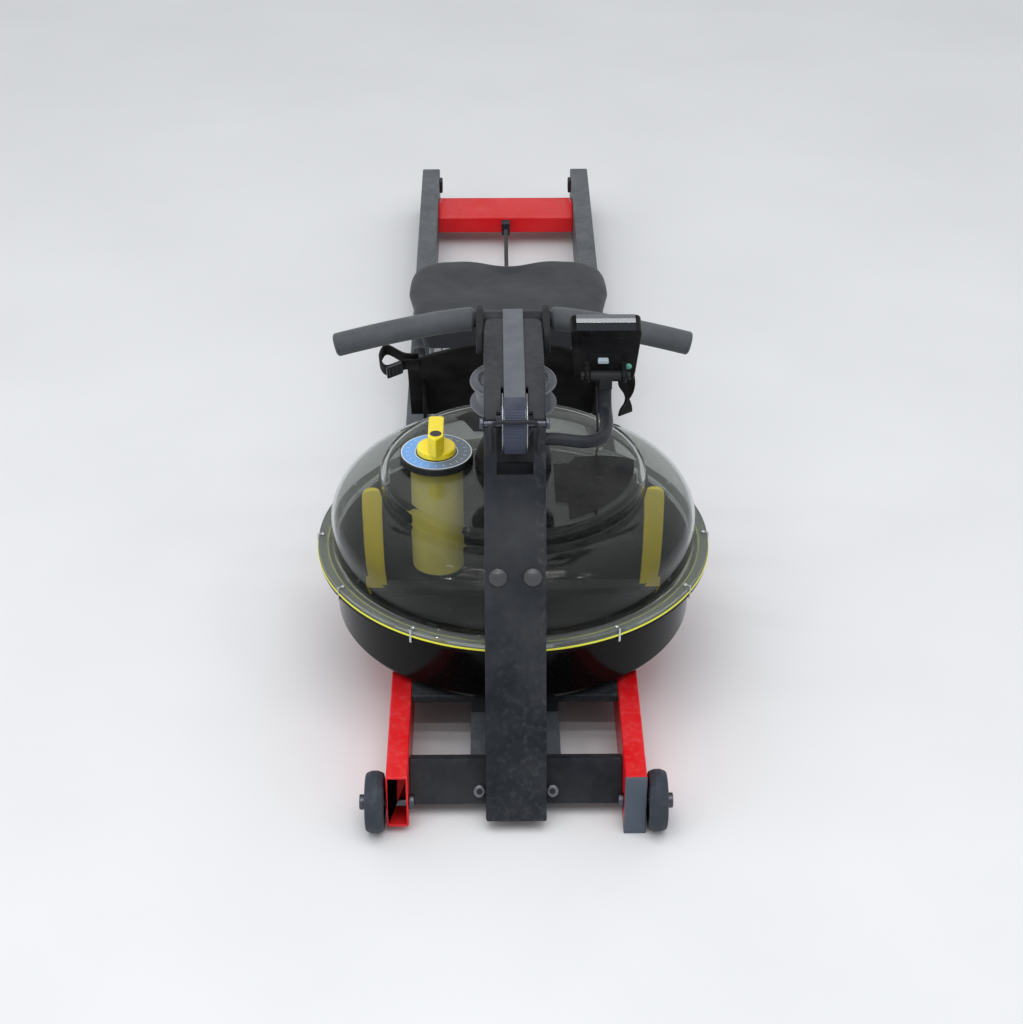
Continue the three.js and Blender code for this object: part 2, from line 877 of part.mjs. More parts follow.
function driveDrum() {
  const bore = shaftRadius + seatGap;
  const hubLow = drumBottom - towerTopGap + seatGap;
  return revolve([
    [bore, hubLow], [bearingRadius, hubLow], [bearingRadius, drumBottom], [drumRadius, drumBottom],
    [drumRadius, drumBottom + drumFlange],
    [drumCoreRadius, drumBottom + drumFlange], [drumCoreRadius, drumTop - drumFlange],
    [drumRadius, drumTop - drumFlange], [drumRadius, drumTop], [drumRingRadius, drumTop],
    [drumRingRadius, drumTop + drumRingHeight], [bore, drumTop + drumRingHeight],
    [bore, hubLow],
  ], roundSides);
}

function impeller() {
  const bore = shaftRadius + seatGap;
  const top = impellerBottom + impellerHubHeight;
  const hub = revolve([
    [bore, impellerBottom], [impellerHubRadius, impellerBottom], [impellerHubRadius, top], [bore, top],
    [bore, impellerBottom],
  ], roundSides);
  const arm = block(
    [impellerHubRadius - overrun, -armWidth / 2, impellerBottom],
    [paddleOuter - overrun, armWidth / 2, impellerBottom + armThickness],
  );
  const paddle = pull(
    'front',
    outline([
      [paddleInner, impellerBottom, 0], [paddleOuter, impellerBottom, 0],
      [paddleOuter, paddleTop, armThickness], [paddleInner, paddleTop, armThickness],
    ]),
    -paddleThickness / 2, paddleThickness / 2,
  );
  const blade = join(arm, paddle);
  const blades = Array.from({ length: armCount }, (_, i) => turned(blade, i * fullTurn / armCount));
  return join(hub, ...blades);
}

function turned(solid, angle) {
  return solid.rotate([0, 0, THREE.MathUtils.radToDeg(angle)]);
}

// Mast: one bent rectangular tube, leaning back in front of the tank and level over it

function mastLine() {
  const lean = new THREE.Vector2(Math.sin(mastLean), Math.cos(mastLean));
  const knee = new THREE.Vector2(kneeY, mastTopCentre);
  const before = knee.clone().addScaledVector(lean, -mastBend);
  const after = new THREE.Vector2(kneeY + mastBend, mastTopCentre);
  const bend = new THREE.QuadraticBezierCurve(before, knee, after).getPoints(arcSteps);
  const legLength = (mastTopCentre - mastFoot + mastDepth) / Math.cos(mastLean);
  const foot = knee.clone().addScaledVector(lean, -legLength);
  return { foot, knee, bend, end: new THREE.Vector2(mastEnd, mastTopCentre) };
}

function mastStrip(half, end, width) {
  const line = mastLine();
  const shape = strip([line.foot, ...line.bend, new THREE.Vector2(end, mastTopCentre)], half);
  return pull('side', shape, -width / 2, width / 2);
}

function mast() {
  const shell = cut(
    mastStrip(mastHalf, mastEnd, mastWidth),
    mastStrip(mastHalf - mastWall, mastEnd - mastWall, mastWidth - 2 * mastWall),
  );
  const belowFoot = block([-mastWidth, -tankRadius * 3, -mastFoot * 4], [mastWidth, 0, mastFoot]);
  const pulleyWay = pulleyTread / 2 + pulleyFlange + slotPulleyGap;
  const pulleyRear = pulleyCentreY + pulleyFlangeRadius + slotPulleyGap;
  const slot = join(
    block([-slotHalfWidth, -tankRadius, slotBottomZ], [slotHalfWidth, slotRearY, mastTopZ + overrun]),
    block([-slotHalfWidth, -tankRadius, slotBottomZ], [slotHalfWidth, pulleyRear, slotExitTop]),
    block([-pulleyWay, -tankRadius, slotBottomZ], [pulleyWay, pulleyRear, mastTopZ + overrun]),
  );
  const holes = [-1, 1].map((side) => mastBoltSolid(side, mastBoltShank + seatGap, overrun));
  const axleHole = rod(
    'x', pulleyAxleRadius + seatGap, -mastWidth, mastWidth, [0, pulleyCentreY, pulleyCentreZ], smallSides,
  );
  const ends = [-1, 1].map((side) => {
    const x = side * mastWidth / 2;
    const corner = outline([
      [x + side * overrun, mastEnd + overrun, 0], [x + side * overrun, mastEnd - mastEndRound, 0],
      [x, mastEnd - mastEndRound, 0], [x - side * mastEndRound / 4, mastEnd - mastEndRound / 4, 0],
      [x - side * mastEndRound, mastEnd, 0], [x - side * mastEndRound, mastEnd + overrun, 0],
    ]);
    return pull('top', corner, mastTopZ - 2 * mastDepth, mastTopZ + overrun);
  });
  return cut(shell, belowFoot, slot, ...holes, axleHole, ...ends);
}

// The tank bolts stand square to the leaning front face of the mast
function mastBoltSolid(side, radius, extra) {
  const faceY = mastFootFront + (mastBoltZ - mastFoot) * Math.tan(mastLean);
  const geometry = new THREE.CylinderGeometry(radius, radius, mastDepth + 2 * extra, smallSides);
  geometry.translate(0, mastHalf, 0);
  geometry.rotateX(-mastLean);
  geometry.translate(side * mastBoltReach, faceY, mastBoltZ);
  return solidOf(geometry);
}

function mastBolt(side) {
  const faceY = mastFootFront + (mastBoltZ - mastFoot) * Math.tan(mastLean);
  const head = new THREE.LatheGeometry([
    [0, -mastBoltHead], [mastBoltRadius * 2 / 3, -mastBoltHead * 5 / 6], [mastBoltRadius, -mastBoltHead / 3],
    [mastBoltRadius, -seatGap], [mastBoltShank, -seatGap], [mastBoltShank, mastDepth + mastBoltHead],
    [0, mastDepth + mastBoltHead],
  ].map(([r, z]) => new THREE.Vector2(r, z)), smallSides);
  head.rotateX(-mastLean);
  head.translate(side * mastBoltReach, faceY, mastBoltZ);
  return solidOf(head);
}

// Guide pulley in the mast's slot, its axle, the belt and its keeper

function guidePulley() {
  const bore = pulleyAxleRadius + seatGap;
  const tread = pulleyTread / 2;
  const side = tread + pulleyFlange;
  const geometry = new THREE.LatheGeometry([
    [bore, -side], [pulleyFlangeRadius, -side], [pulleyFlangeRadius, -tread], [pulleyRadius, -tread],
    [pulleyRadius, tread], [pulleyFlangeRadius, tread], [pulleyFlangeRadius, side], [bore, side],
    [bore, -side],
  ].map(([r, z]) => new THREE.Vector2(r, z)), roundSides);
  geometry.rotateZ(-quarterTurn);
  geometry.translate(0, pulleyCentreY, pulleyCentreZ);
  return solidOf(geometry);
}

function pulleyAxle() {
  const centre = [0, pulleyCentreY, pulleyCentreZ];
  const reach = mastWidth / 2 + seatGap;
  const heads = [-1, 1].map((side) => (
    sideRod(side, pulleyAxleHead, reach, reach + pulleyAxleHeadLength, centre, hexSides)
  ));
  return join(rod('x', pulleyAxleRadius, -reach - overrun, reach + overrun, centre, smallSides), ...heads);
}

const alongX = new THREE.Vector3(1, 0, 0);

// The top run ends in a loop sewn round the handle bar
function beltTopRun() {
  const loopRadius = barRadius + seatGap + endLoopWall;
  const run = block(
    [-beltWidth / 2, pulleyCentreY + seatGap, beltZ - beltThickness / 2],
    [beltWidth / 2, handleCentreY, beltZ + beltThickness / 2],
  );
  const loop = rod('x', loopRadius, -beltWidth / 2, beltWidth / 2, [0, handleCentreY, handleZ]);
  const bore = rod('x', barRadius + seatGap, -beltWidth, beltWidth, [0, handleCentreY, handleZ]);
  return cut(join(run, loop), bore);
}

// Round the front of the pulley, then down to the drum with a quarter twist
function beltLowerRun() {
  const wrap = pulleyRadius + seatGap + beltThickness / 2;
  const stations = [];
  for (let i = 0; i <= beltWrapSteps; i += 1) {
    const angle = quarterTurn + Math.PI * i / beltWrapSteps;
    const out = new THREE.Vector3(0, Math.cos(angle), Math.sin(angle));
    const centre = new THREE.Vector3(0, pulleyCentreY, pulleyCentreZ).addScaledVector(out, wrap);
    stations.push({ centre, across: alongX, through: out });
  }
  const start = new THREE.Vector3(0, pulleyCentreY + beltStraight, pulleyCentreZ - wrap);
  stations.push({ centre: start, across: alongX, through: new THREE.Vector3(0, 0, -1) });
  const drumSide = drumCoreRadius + seatGap + beltThickness / 2;
  const meets = Math.acos(drumSide / -start.y);
  const end = new THREE.Vector3(
    drumSide * Math.sin(meets), -drumSide * Math.cos(meets), (drumTop + drumBottom) / 2,
  );
  const ahead = end.clone().sub(start).setZ(0).normalize();
  for (let i = 1; i <= beltTwistSteps; i += 1) {
    const share = i / beltTwistSteps;
    const twist = THREE.MathUtils.smoothstep(share, beltTwistFrom, beltTwistTo);
    const centre = start.clone().lerp(end, share);
    centre.z = THREE.MathUtils.lerp(start.z, end.z, twist);
    const angle = quarterTurn * twist;
    const across = new THREE.Vector3(Math.cos(angle), 0, Math.sin(angle));
    const through = new THREE.Vector3().crossVectors(ahead, across).normalize();
    stations.push({ centre, across, through });
  }
  return band(stations, beltWidth, beltThickness);
}

function beltKeeper() {
  const footY = mastFootFront + (keeperFootZ - mastFoot) * Math.tan(mastLean) - keeperRadius - seatGap;
  const reach = pulleyFlangeRadius + keeperOut;
  const barY = pulleyCentreY - reach * Math.cos(keeperAngle);
  const barZ = pulleyCentreZ + reach * Math.sin(keeperAngle);
  const side = (x) => [[x, footY, keeperFootZ], [x, (footY + barY) / 2, (keeperFootZ + barZ) / 2]];
  const corner = keeperHalf - keeperRound;
  return roundBar([
    ...side(-keeperHalf), [-keeperHalf, barY, barZ - keeperRound], [-corner, barY, barZ],
    [0, barY, barZ], [corner, barY, barZ], [keeperHalf, barY, barZ - keeperRound],
    ...side(keeperHalf).reverse(),
  ], keeperRadius, keeperSteps, cordSides);
}

// Handle, its grips and the two ears that it rests in

function handleLine(x) {
  const beyond = Math.max(Math.abs(x) - handleStraight, 0) / (handleReach - handleStraight);
  return [x, handleCentreY - handleDroop / 2 * beyond, handleZ - handleDroop * beyond ** handleBowShare];
}

function handlePoints(from, to, count) {
  return Array.from({ length: count + 1 }, (_, i) => handleLine(from + (to - from) * i / count));
}

function handleBar() {
  return roundBar(handlePoints(-handleReach, handleReach, handleSteps), barRadius, handleSteps, barSides);
}

function grip(side) {
  const end = handleReach + gripWall;
  const steps = handleSteps / 2;
  const outer = roundBar(handlePoints(side * gripInner, side * end, steps), gripRadius, steps, barSides);
  const inside = handlePoints(0, side * (handleReach + seatGap), steps);
  return cut(outer, roundBar(inside, barRadius + runGap, steps, barSides));
}

function cradleEar(side) {
  const inner = side * (mastWidth / 2 + earGap);
  const outer = inner + side * earThickness;
  const [low, high] = [Math.min(inner, outer), Math.max(inner, outer)];
  const seat = barRadius + seatGap;
  const plate = outline([
    [mastEnd - 3 * earReach, mastTopZ - mastDepth, earReach / 2],
    [mastEnd + earReach / 2, handleZ - earDrop, earReach / 2],
    [handleCentreY + earReach / 2, handleZ - earDrop / 2, earReach / 2],
    [handleCentreY + barRadius + earReach / 2, handleZ - seat - earThickness / 2, earReach / 4],
    [handleCentreY + barRadius + earReach / 2, handleZ, 0],
    [handleCentreY, handleZ, 0], [handleCentreY, handleZ + earTop, earReach / 4],
    [handleCentreY - earReach, handleZ + earTop, earReach / 4],
    [mastEnd - 2 * earReach, mastTopZ - mastWall, earReach / 2],
  ]);
  const notch = rod('x', seat, low - overrun, high + overrun, [0, handleCentreY, handleZ], smallSides);
  const mouth = block(
    [low - overrun, handleCentreY, handleZ - seat],
    [high + overrun, handleCentreY + 3 * earReach, handleZ + earTop],
  );
  return cut(pull('side', plate, low, high), notch, mouth);
}

// Resistance dial on the deck, its knob and the valve below

const dialLow = deckTop + seatGap;
const dialTop = dialLow + dialHeight;
const knobLow = dialTop + runGap;

function moved(solid, x, y, z) {
  return solid.translate([x, y, z]);
}

function selectorDial() {
  const bore = valveStemRadius + runGap;
  const disc = revolve([
    [bore, 0], [dialRadius, 0], [dialRadius, dialHeight - dialRimRise], [dialRimRadius, dialHeight],
    [bore, dialHeight], [bore, 0],
  ], roundSides);
  return moved(disc, dialX, dialY, dialLow);
}

function selectorKnob() {
  const bore = valveStemRadius + seatGap;
  const skirt = revolve([
    [0, bore], [bore, bore], [bore, 0], [knobSkirtRadius, 0],
    [knobSkirtRadius - overrun / 2, knobSkirtHeight], [0, knobSkirtHeight],
  ], roundSides);
  const half = knobBarLength / 2;
  const side = knobBarWidth / 2;
  const bar = pull('top', outline([
    [-side, half, side / 2], [-side, -half + knobTip, 0], [0, -half, 0], [side, -half + knobTip, 0],
    [side, half, side / 2],
  ]), knobSkirtHeight - overrun / 2, knobBarHeight);
  const recessFloor = knobBarHeight - knobRecessDepth;
  const recess = rod('z', knobRecessRadius, recessFloor, knobBarHeight + overrun, [0, 0, 0], smallSides);
  return moved(cut(join(skirt, bar), recess), dialX, dialY, knobLow);
}

function selectorValve() {
  const top = deckTop - shellWall - runGap;
  const cup = cut(
    rod('z', valveRadius, valveBottom, top, [0, 0, 0]),
    rod('z', valveRadius - valveWall, valveBottom - overrun, top - valveWall, [0, 0, 0]),
  );
  const stemTop = knobLow + valveStemRadius - seatGap;
  const stem = rod('z', valveStemRadius, top - overrun, stemTop, [0, 0, 0], smallSides);
  return moved(join(cup, stem), dialX, dialY, 0);
}

// Monitor: case, screen, keys, tilting on a bracket at the end of its bent arm

const monitorGroup = new THREE.Group();
monitorGroup.position.set(monitorX, monitorY, monitorZ);
monitorGroup.rotation.x = monitorTilt;

// The pivot lies in front of the case, low on its back
const pivotY = monitorY - monitorDepth / 2 - pivotBack;
const pivotZ = monitorZ - pivotDrop;

function pivotInCase() {
  const y = pivotY - monitorY;
  const z = pivotZ - monitorZ;
  const c = Math.cos(monitorTilt);
  const s = Math.sin(monitorTilt);
  return [y * c + z * s, z * c - y * s];
}

function monitorCase() {
  const half = monitorWidth / 2;
  const tall = monitorHeight / 2;
  const deep = monitorDepth / 2;
  const face = outline([
    [-half + monitorTaper, -tall, monitorRound], [half - monitorTaper, -tall, monitorRound],
    [half, tall, monitorRound], [-half, tall, monitorRound],
  ]);
  const body = pull('front', face, -deep, deep);
  const wedge = pull('side', outline([
    [-deep - overrun, -tall - overrun, 0], [-deep + monitorTaper, -tall - overrun, 0],
    [-deep - overrun, -tall / 2, 0],
  ]), -half - overrun, half + overrun);
  const window = block(
    [-half + monitorTaper + bezelInset, deep - screenRecess, tall - bezelInset - screenHeight],
    [half - monitorTaper - bezelInset, deep + overrun, tall - bezelInset],
  );
  const wells = keyCentres().map(([x, z]) => block(
    [x - keyWidth / 2 - runGap, deep - keyDepth - keyTravel, z - keyHeight / 2 - runGap],
    [x + keyWidth / 2 + runGap, deep + overrun, z + keyHeight / 2 + runGap],
  ));
  const [py, pz] = pivotInCase();
  const lugRadius = pivotRadius + pivotHeadRadius / 2;
  const lugs = [-1, 1].map((side) => {
    const inner = side * (lugHalf + runGap);
    const outer = inner + side * lugThickness;
    const [low, high] = [Math.min(inner, outer), Math.max(inner, outer)];
    const web = rectangle(py, pz - lugRadius, -deep + overrun / 2, pz + lugRadius);
    return cut(
      join(rod('x', lugRadius, low, high, [0, py, pz], smallSides), pull('side', web, low, high)),
      rod('x', pivotHeadRadius + seatGap, low - overrun, high + overrun, [0, py, pz], smallSides),
    );
  });
  return join(cut(body, wedge, window, ...wells), ...lugs);
}

function keyCentres() {
  const z = -monitorHeight / 2 + bezelInset + keyHeight;
  return Array.from({ length: keyCount }, (_, i) => [(i - (keyCount - 1) / 2) * keyPitch, z]);
}

function monitorScreen() {
  const half = monitorWidth / 2 - monitorTaper - bezelInset - seatGap;
  const top = monitorHeight / 2 - bezelInset - seatGap;
  const deep = monitorDepth / 2;
  const low = top - screenHeight + 2 * seatGap;
  return block([-half, deep - screenRecess + seatGap, low], [half, deep - seatGap, top]);
}

function monitorKey([x, z]) {
  const deep = monitorDepth / 2;
  const [w, h] = [keyWidth / 2, keyHeight / 2];
  const shape = rectangle(x - w, z - h, x + w, z + h, keyHeight / 3);
  return pull('front', shape, -deep - keyStandOut, -deep + keyDepth - seatGap);
}

// A barrel on the arm's end, with the pivot bolt through it and through both lugs of the case
function monitorBracket() {
  const centre = [monitorX, pivotY, pivotZ];
  const boltHalf = lugHalf + lugThickness + 2 * runGap;
  const neck = armRadius;
  return join(
    rod('x', pivotRadius, -lugHalf, lugHalf, centre, smallSides),
    rod('x', pivotHeadRadius, -boltHalf - overrun, boltHalf + overrun, centre, smallSides),
    rod('x', pivotHeadRadius + overrun, -boltHalf - pivotHeadLength, -boltHalf, centre, hexSides),
    rod('x', pivotHeadRadius + overrun, boltHalf, boltHalf + pivotHeadLength, centre, hexSides),
    centredBlock([monitorX, pivotY, pivotZ - neckDrop / 2], [2 * neck, 2 * neck, neckDrop]),
  );
}

function monitorArm() {
  const start = mastWidth / 2 + seatGap;
  const top = pivotZ - neckDrop - seatGap;
  const bend = armRadius * armBendShare;
  return roundBar([
    [start, armStartY, armStartZ], [start + bend / 2, armStartY, armStartZ],
    [monitorX - bend, armStartY, armStartZ - armSag],
    [monitorX - bend / 4, armStartY + bend / 2, armStartZ - armSag],
    [monitorX, (armStartY + pivotY) / 2, armStartZ - armSag], [monitorX, pivotY - bend / 3, armStartZ],
    [monitorX, pivotY, top - bend / 3], [monitorX, pivotY, top],
  ], armRadius, armSteps, smallSides);
}

// Footboard: a curved-top plate leaning back, on two side gussets that stand on the rails.
// It is drawn upright with its top centre at the origin, then leaned and moved.

function onBoard(solid) {
  return solid.rotate([THREE.MathUtils.radToDeg(boardTilt), 0, 0]).translate([0, boardTopY, boardTopZ]);
}

function footboard() {
  const shape = new THREE.Shape();
  shape.moveTo(-boardHalf, -boardLength);
  shape.lineTo(boardHalf, -boardLength);
  shape.lineTo(boardHalf, -boardArch);
  shape.quadraticCurveTo(boardHalf / 2, 0, 0, 0);
  shape.quadraticCurveTo(-boardHalf / 2, 0, -boardHalf, -boardArch);
  shape.closePath();
  const plate = onBoard(pull('front', shape, -boardThickness, 0));
  const down = (s) => [boardTopY + s * Math.sin(boardTilt), boardTopZ - s * Math.cos(boardTilt)];
  const [highY, highZ] = down(boardLegHigh);
  const [lowY, lowZ] = down(boardLength - boardThickness);
  const standZ = railTop + seatGap;
  const gusset = (side) => {
    const outer = side * boardLegHalf;
    const inner = outer - side * boardLegWall;
    const web = outline([
      [highY, highZ, 0], [lowY, lowZ, 0], [lowY, standZ, 0], [lowY - boardLegDepth, standZ, 0],
    ]);
    const foot = block(
      [Math.min(outer, outer + side * boardLegWidth), lowY - boardLegDepth, standZ],
      [Math.max(outer, outer + side * boardLegWidth), lowY, standZ + boardLegWall],
    );
    const wall = pull('side', web, Math.min(outer, inner), Math.max(outer, inner));
    const toe = block(
      [Math.min(inner, outer + side), lowY - boardLegDepth, standZ],
      [Math.max(inner, outer + side), lowY, standZ + boardLegWall],
    );
    return join(wall, foot, toe);
  };
  return join(plate, gusset(-1), gusset(1));
}

function heelRest(side) {
  const x = side * heelX;
  const half = heelWidth / 2;
  const low = -heelStart - heelLength;
  const base = boardThickness + seatGap;
  const outside = rectangle(x - half, low, x + half, -heelStart, half / 3);
  const plate = pull('front', outside, -base - heelThickness, -base);
  const cupTop = low + heelLength * heelCupShare;
  const cupOut = -base - heelThickness - heelCupHeight;
  const wall = heelThickness;
  const hollow = rectangle(x - half + wall, low + wall, x + half - wall, cupTop + half, half / 4);
  const cup = cut(
    pull('front', rectangle(x - half, low, x + half, cupTop, half / 3), cupOut, -base),
    pull('front', hollow, cupOut - overrun, -base - heelThickness),
  );
  return onBoard(join(plate, cup));
}

// Left strap: a wide loop that stands out past the edge of the board
function leftStrap() {
  const clear = strapClear + strapThickness / 2;
  const back = boardThickness + clear;
  const loop = new THREE.CatmullRomCurve3([
    [-strapHold, -clear], [-boardHalf - strapThickness, -clear],
    [-strapReach + strapRise / 4, -strapRise / 4],
    [-strapReach + strapThickness, strapRise / 8], [-strapReach + strapRise / 4, strapRise / 2],
    [-boardHalf - strapThickness, back + strapThickness / 2], [-strapHold, back],
  ].map(([x, y]) => new THREE.Vector3(x, y, -strapAlong)), false, 'centripetal');
  const stations = flatStations(loop, new THREE.Vector3(0, 0, 1), strapSteps);
  return onBoard(band(stations, strapWidth, strapThickness));
}

function flatStations(line, across, steps) {
  return Array.from({ length: steps + 1 }, (_, i) => ({
    centre: line.getPoint(i / steps),
    across,
    through: new THREE.Vector3().crossVectors(line.getTangent(i / steps), across).normalize(),
  }));
}

// Right strap: it leaves the edge of the board, and its loose end hangs down with half a turn in it
function rightStrap() {
  const clear = strapClear + strapThickness / 2;
  const hang = (length) => [
    tailOut,
    -clear - tailBend / 2 - length * Math.sin(boardTilt),
    -tailAlong - tailBend - length * Math.cos(boardTilt),
  ];
  const line = new THREE.CatmullRomCurve3([
    [strapHold, -clear, -tailAlong], [boardHalf + strapThickness, -clear, -tailAlong],
    [tailOut - tailBend / 4, -clear - tailBend / 8, -tailAlong - tailBend / 3],
    hang(0), hang(tailLength / 2), hang(tailLength),
  ].map((p) => new THREE.Vector3(...p)), false, 'centripetal');
  const stations = Array.from({ length: tailSteps + 1 }, (_, i) => {
    const share = i / tailSteps;
    const along = line.getTangent(share);
    const through = new THREE.Vector3(0, 1, 0).addScaledVector(along, -along.y).normalize();
    through.applyAxisAngle(along, tailTurn * THREE.MathUtils.smoothstep(share, tailFlatShare, 1));
    return { centre: line.getPoint(share), across: along.clone().cross(through), through };
  });
  return onBoard(band(stations, tailWidth, strapThickness));
}

// Seat: moulded pad on a carriage with four rollers on the rails

const padBottom = seatTop - seatThickness;
const carriageTop = padBottom - seatGap;

function seatPad() {
  const w = seatWidth / 2;
  const d = seatDepth / 2;
  const shape = new THREE.Shape();
  shape.moveTo(-w * seatFrontShare, -d);
  shape.lineTo(w * seatFrontShare, -d);
  shape.quadraticCurveTo(w * seatSideShare, -d, w * seatSideShare, -d + seatRound);
  shape.lineTo(w, 0);
  shape.bezierCurveTo(w, d - seatRound / 2, w * seatSideShare, d, w - seatRound * seatCornerShare, d);
  shape.bezierCurveTo(w / 3, d + seatLobe, w / 4, d - seatDip, 0, d - seatDip);
  shape.bezierCurveTo(-w / 4, d - seatDip, -w / 3, d + seatLobe, -w + seatRound * seatCornerShare, d);
  shape.bezierCurveTo(-w * seatSideShare, d, -w, d - seatRound / 2, -w, 0);
  shape.lineTo(-w * seatSideShare, -d + seatRound);
  shape.quadraticCurveTo(-w * seatSideShare, -d, -w * seatFrontShare, -d);
  const plan = pull('top', shape, padBottom - seatLipDrop, seatTop);
  const profile = outline([
    [-d - overrun, padBottom - seatLipDrop, 0],
    [-d + seatLip / 2, padBottom - seatLipDrop, seatLip / 4],
    [-d + seatLip, padBottom, 0], [d + seatLobe, padBottom, seatThickness / 3],
    [d + seatLobe, seatTop, seatThickness / 2], [-d - overrun, seatTop, seatLip],
  ]);
  return moved(plan.intersect(pull('side', profile, -seatWidth, seatWidth)), 0, seatCentreY, 0);
}

const rollerZ = railTop + seatGap + rollerRadius;

function seatCarriage() {
  const plate = block(
    [-carriageHalf, -carriageDepth / 2, carriageTop - plateThickness],
    [carriageHalf, carriageDepth / 2, carriageTop],
  );
  const forks = [];
  const forkOuter = railInner - seatGap;
  const forkLow = carriageTop - forkDrop;
  for (const side of [-1, 1]) {
    for (const end of [-1, 1]) {
      const y = end * rollerSpread;
      const span = (a, b, low, high) => block(
        [Math.min(side * a, side * b), y - forkLength / 2, low],
        [Math.max(side * a, side * b), y + forkLength / 2, high],
      );
      forks.push(
        span(forkInner, forkInner + forkWall, forkLow, carriageTop - overrun),
        span(forkOuter - forkWall, forkOuter, forkLow, carriageTop - overrun),
        span(forkInner, forkOuter, forkLow, forkLow + forkWall),
        carriageAxle(side, y),
      );
    }
  }
  return moved(join(plate, ...forks), 0, seatCentreY, 0);
}

function carriageAxle(side, y) {
  const from = forkInner - rollerAxleRadius;
  const to = trackHalf + rollerWidth / 2 + seatGap;
  const place = [0, y, rollerZ];
  return join(
    sideRod(side, rollerAxleRadius, from, to + rollerNut / 2, place, cordSides),
    sideRod(side, rollerHubRadius, to, to + rollerNut, place, cordSides),
  );
}

function roller(side, end) {
  const half = rollerWidth / 2;
  const bore = rollerAxleRadius + seatGap;
  const geometry = new THREE.LatheGeometry([
    [bore, -half], [rollerRadius - rollerCrown, -half], [rollerRadius, 0], [rollerRadius - rollerCrown, half],
    [bore, half], [bore, -half],
  ].map(([r, z]) => new THREE.Vector2(r, z)), roundSides);
  geometry.rotateZ(-quarterTurn);
  geometry.translate(side * trackHalf, seatCentreY + end * rollerSpread, rollerZ);
  return solidOf(geometry);
}

// Recoil cord under the seat, and the lead from the monitor's bracket to the tower's foot

function recoilCord() {
  const front = middleBarFront + middleBarDepth + hookDepth + seatGap;
  const rear = rearBarFront - hookDepth - seatGap;
  return rod('y', recoilRadius, front, rear, [0, 0, recoilZ], cordSides);
}

function sensorLead() {
  const x = monitorX - armRadius - leadRadius - runGap;
  return roundBar([
    [x, pivotY + leadRadius, pivotZ - neckDrop], [x, pivotY + leadSag / 2, pivotZ - neckDrop - leadSag],
    [x + leadSag / 4, pivotY + leadSag * 2, (pivotZ + deckTop) / 2 - leadSag],
    [x + leadSag / 2, -pivotY / 2, deckTop + leadSag * 2],
    [x + leadSag / 2, -pivotY / 2 + leadSag / 4, deckTop + leadSag / 2],
    [x + leadSag / 2, -pivotY / 2 + leadSag / 4, deckTop + seatGap],
  ], leadRadius, leadSteps, hexSides);
}

machine.add(monitorGroup);

// Build: frame
for (const [name, side] of [['left', -1], ['right', 1]]) {
  add(`${name}_base_tube`, baseTube(side), redPaint());
  add(`${name}_rail`, rail(side), slatePaint());
  add(`${name}_rear_foot`, rearFoot(side), blackRubber());
  add(`${name}_rail_stop`, railStop(side), blackRubber());
  add(`${name}_wheel_axle`, wheelAxle(side), steel());
  add(`${name}_wheel`, wheel(side), blackRubber());
  add(`${name}_mast_bolt`, mastBolt(side), blackPaint());
  add(`${name}_cradle_ear`, cradleEar(side), blackPaint());
  add(`${name}_grip`, grip(side), blackRubber());
}
add('right_end_cap', endCap(1), greyPlastic());
add('front_cross_member', frontCrossMember(), blackPaint());
add('centre_beam', centreBeam(), slatePaint());
add('tank_cross_bar', tankCrossBar(), blackPaint());
add('middle_cross_member', middleCrossMember(), blackPaint());
add('rear_crossbar', rearCrossbar(), redPaint());
add('mast', mast(), blackPaint());
add('tank_bowl', bowl(), blackPlastic());
add('tank_gasket', gasket(), yellowPlastic());
add('tank_dome', dome(), smokedPlastic());
add('bearing_tower', bearingTower(), blackPlastic());
add('drive_shaft', driveShaft(), steel());
add('drive_drum', driveDrum(), blackPlastic());
add('impeller', impeller(), yellowPlastic());
add('guide_pulley', guidePulley(), blackPlastic());
add('pulley_axle', pulleyAxle(), steel());
add('belt_top_run', beltTopRun(), greyWebbing());
add('belt_lower_run', beltLowerRun(), greyWebbing());
add('belt_keeper', beltKeeper(), blackPaint());
add('handle_bar', handleBar(), blackPaint());
add('selector_dial', selectorDial(), blackPlastic());
add('selector_knob', selectorKnob(), yellowPlastic());
add('selector_valve', selectorValve(), yellowPlastic());
add('monitor_case', monitorCase(), blackPlastic(), monitorGroup);
add('monitor_screen', monitorScreen(), greyPlastic(), monitorGroup);
keyCentres().forEach((place, i) => {
  add(`monitor_key_${i + 1}`, monitorKey(place), greyPlastic(), monitorGroup);
});
add('monitor_bracket', monitorBracket(), blackPlastic());
add('monitor_arm', monitorArm(), blackPaint());
add('footboard', footboard(), blackPlastic());
add('left_heel_rest', heelRest(-1), blackPlastic());
add('right_heel_rest', heelRest(1), blackPlastic());
add('left_foot_strap', leftStrap(), blackRubber());
add('right_foot_strap', rightStrap(), blackRubber());
add('seat_pad', seatPad(), greyPlastic());
add('seat_carriage', seatCarriage(), steel());
for (const [end, way] of [['front', -1], ['rear', 1]]) {
  for (const [name, side] of [['left', -1], ['right', 1]]) {
    add(`${end}_${name}_roller`, roller(side, way), blackPlastic());
  }
}
add('recoil_cord', recoilCord(), blackRubber());
add('sensor_lead', sensorLead(), blackPlastic());

// The middle of the whole length stands over the origin
const frontMost = wheelCentreY - wheelRadius;
machine.position.y = -(frontMost + railRear) / 2;

export default machine;
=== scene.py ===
import math

import bmesh
import bpy
from bpy.props import FloatProperty, FloatVectorProperty, IntProperty, PointerProperty
from mathutils import Matrix, Vector


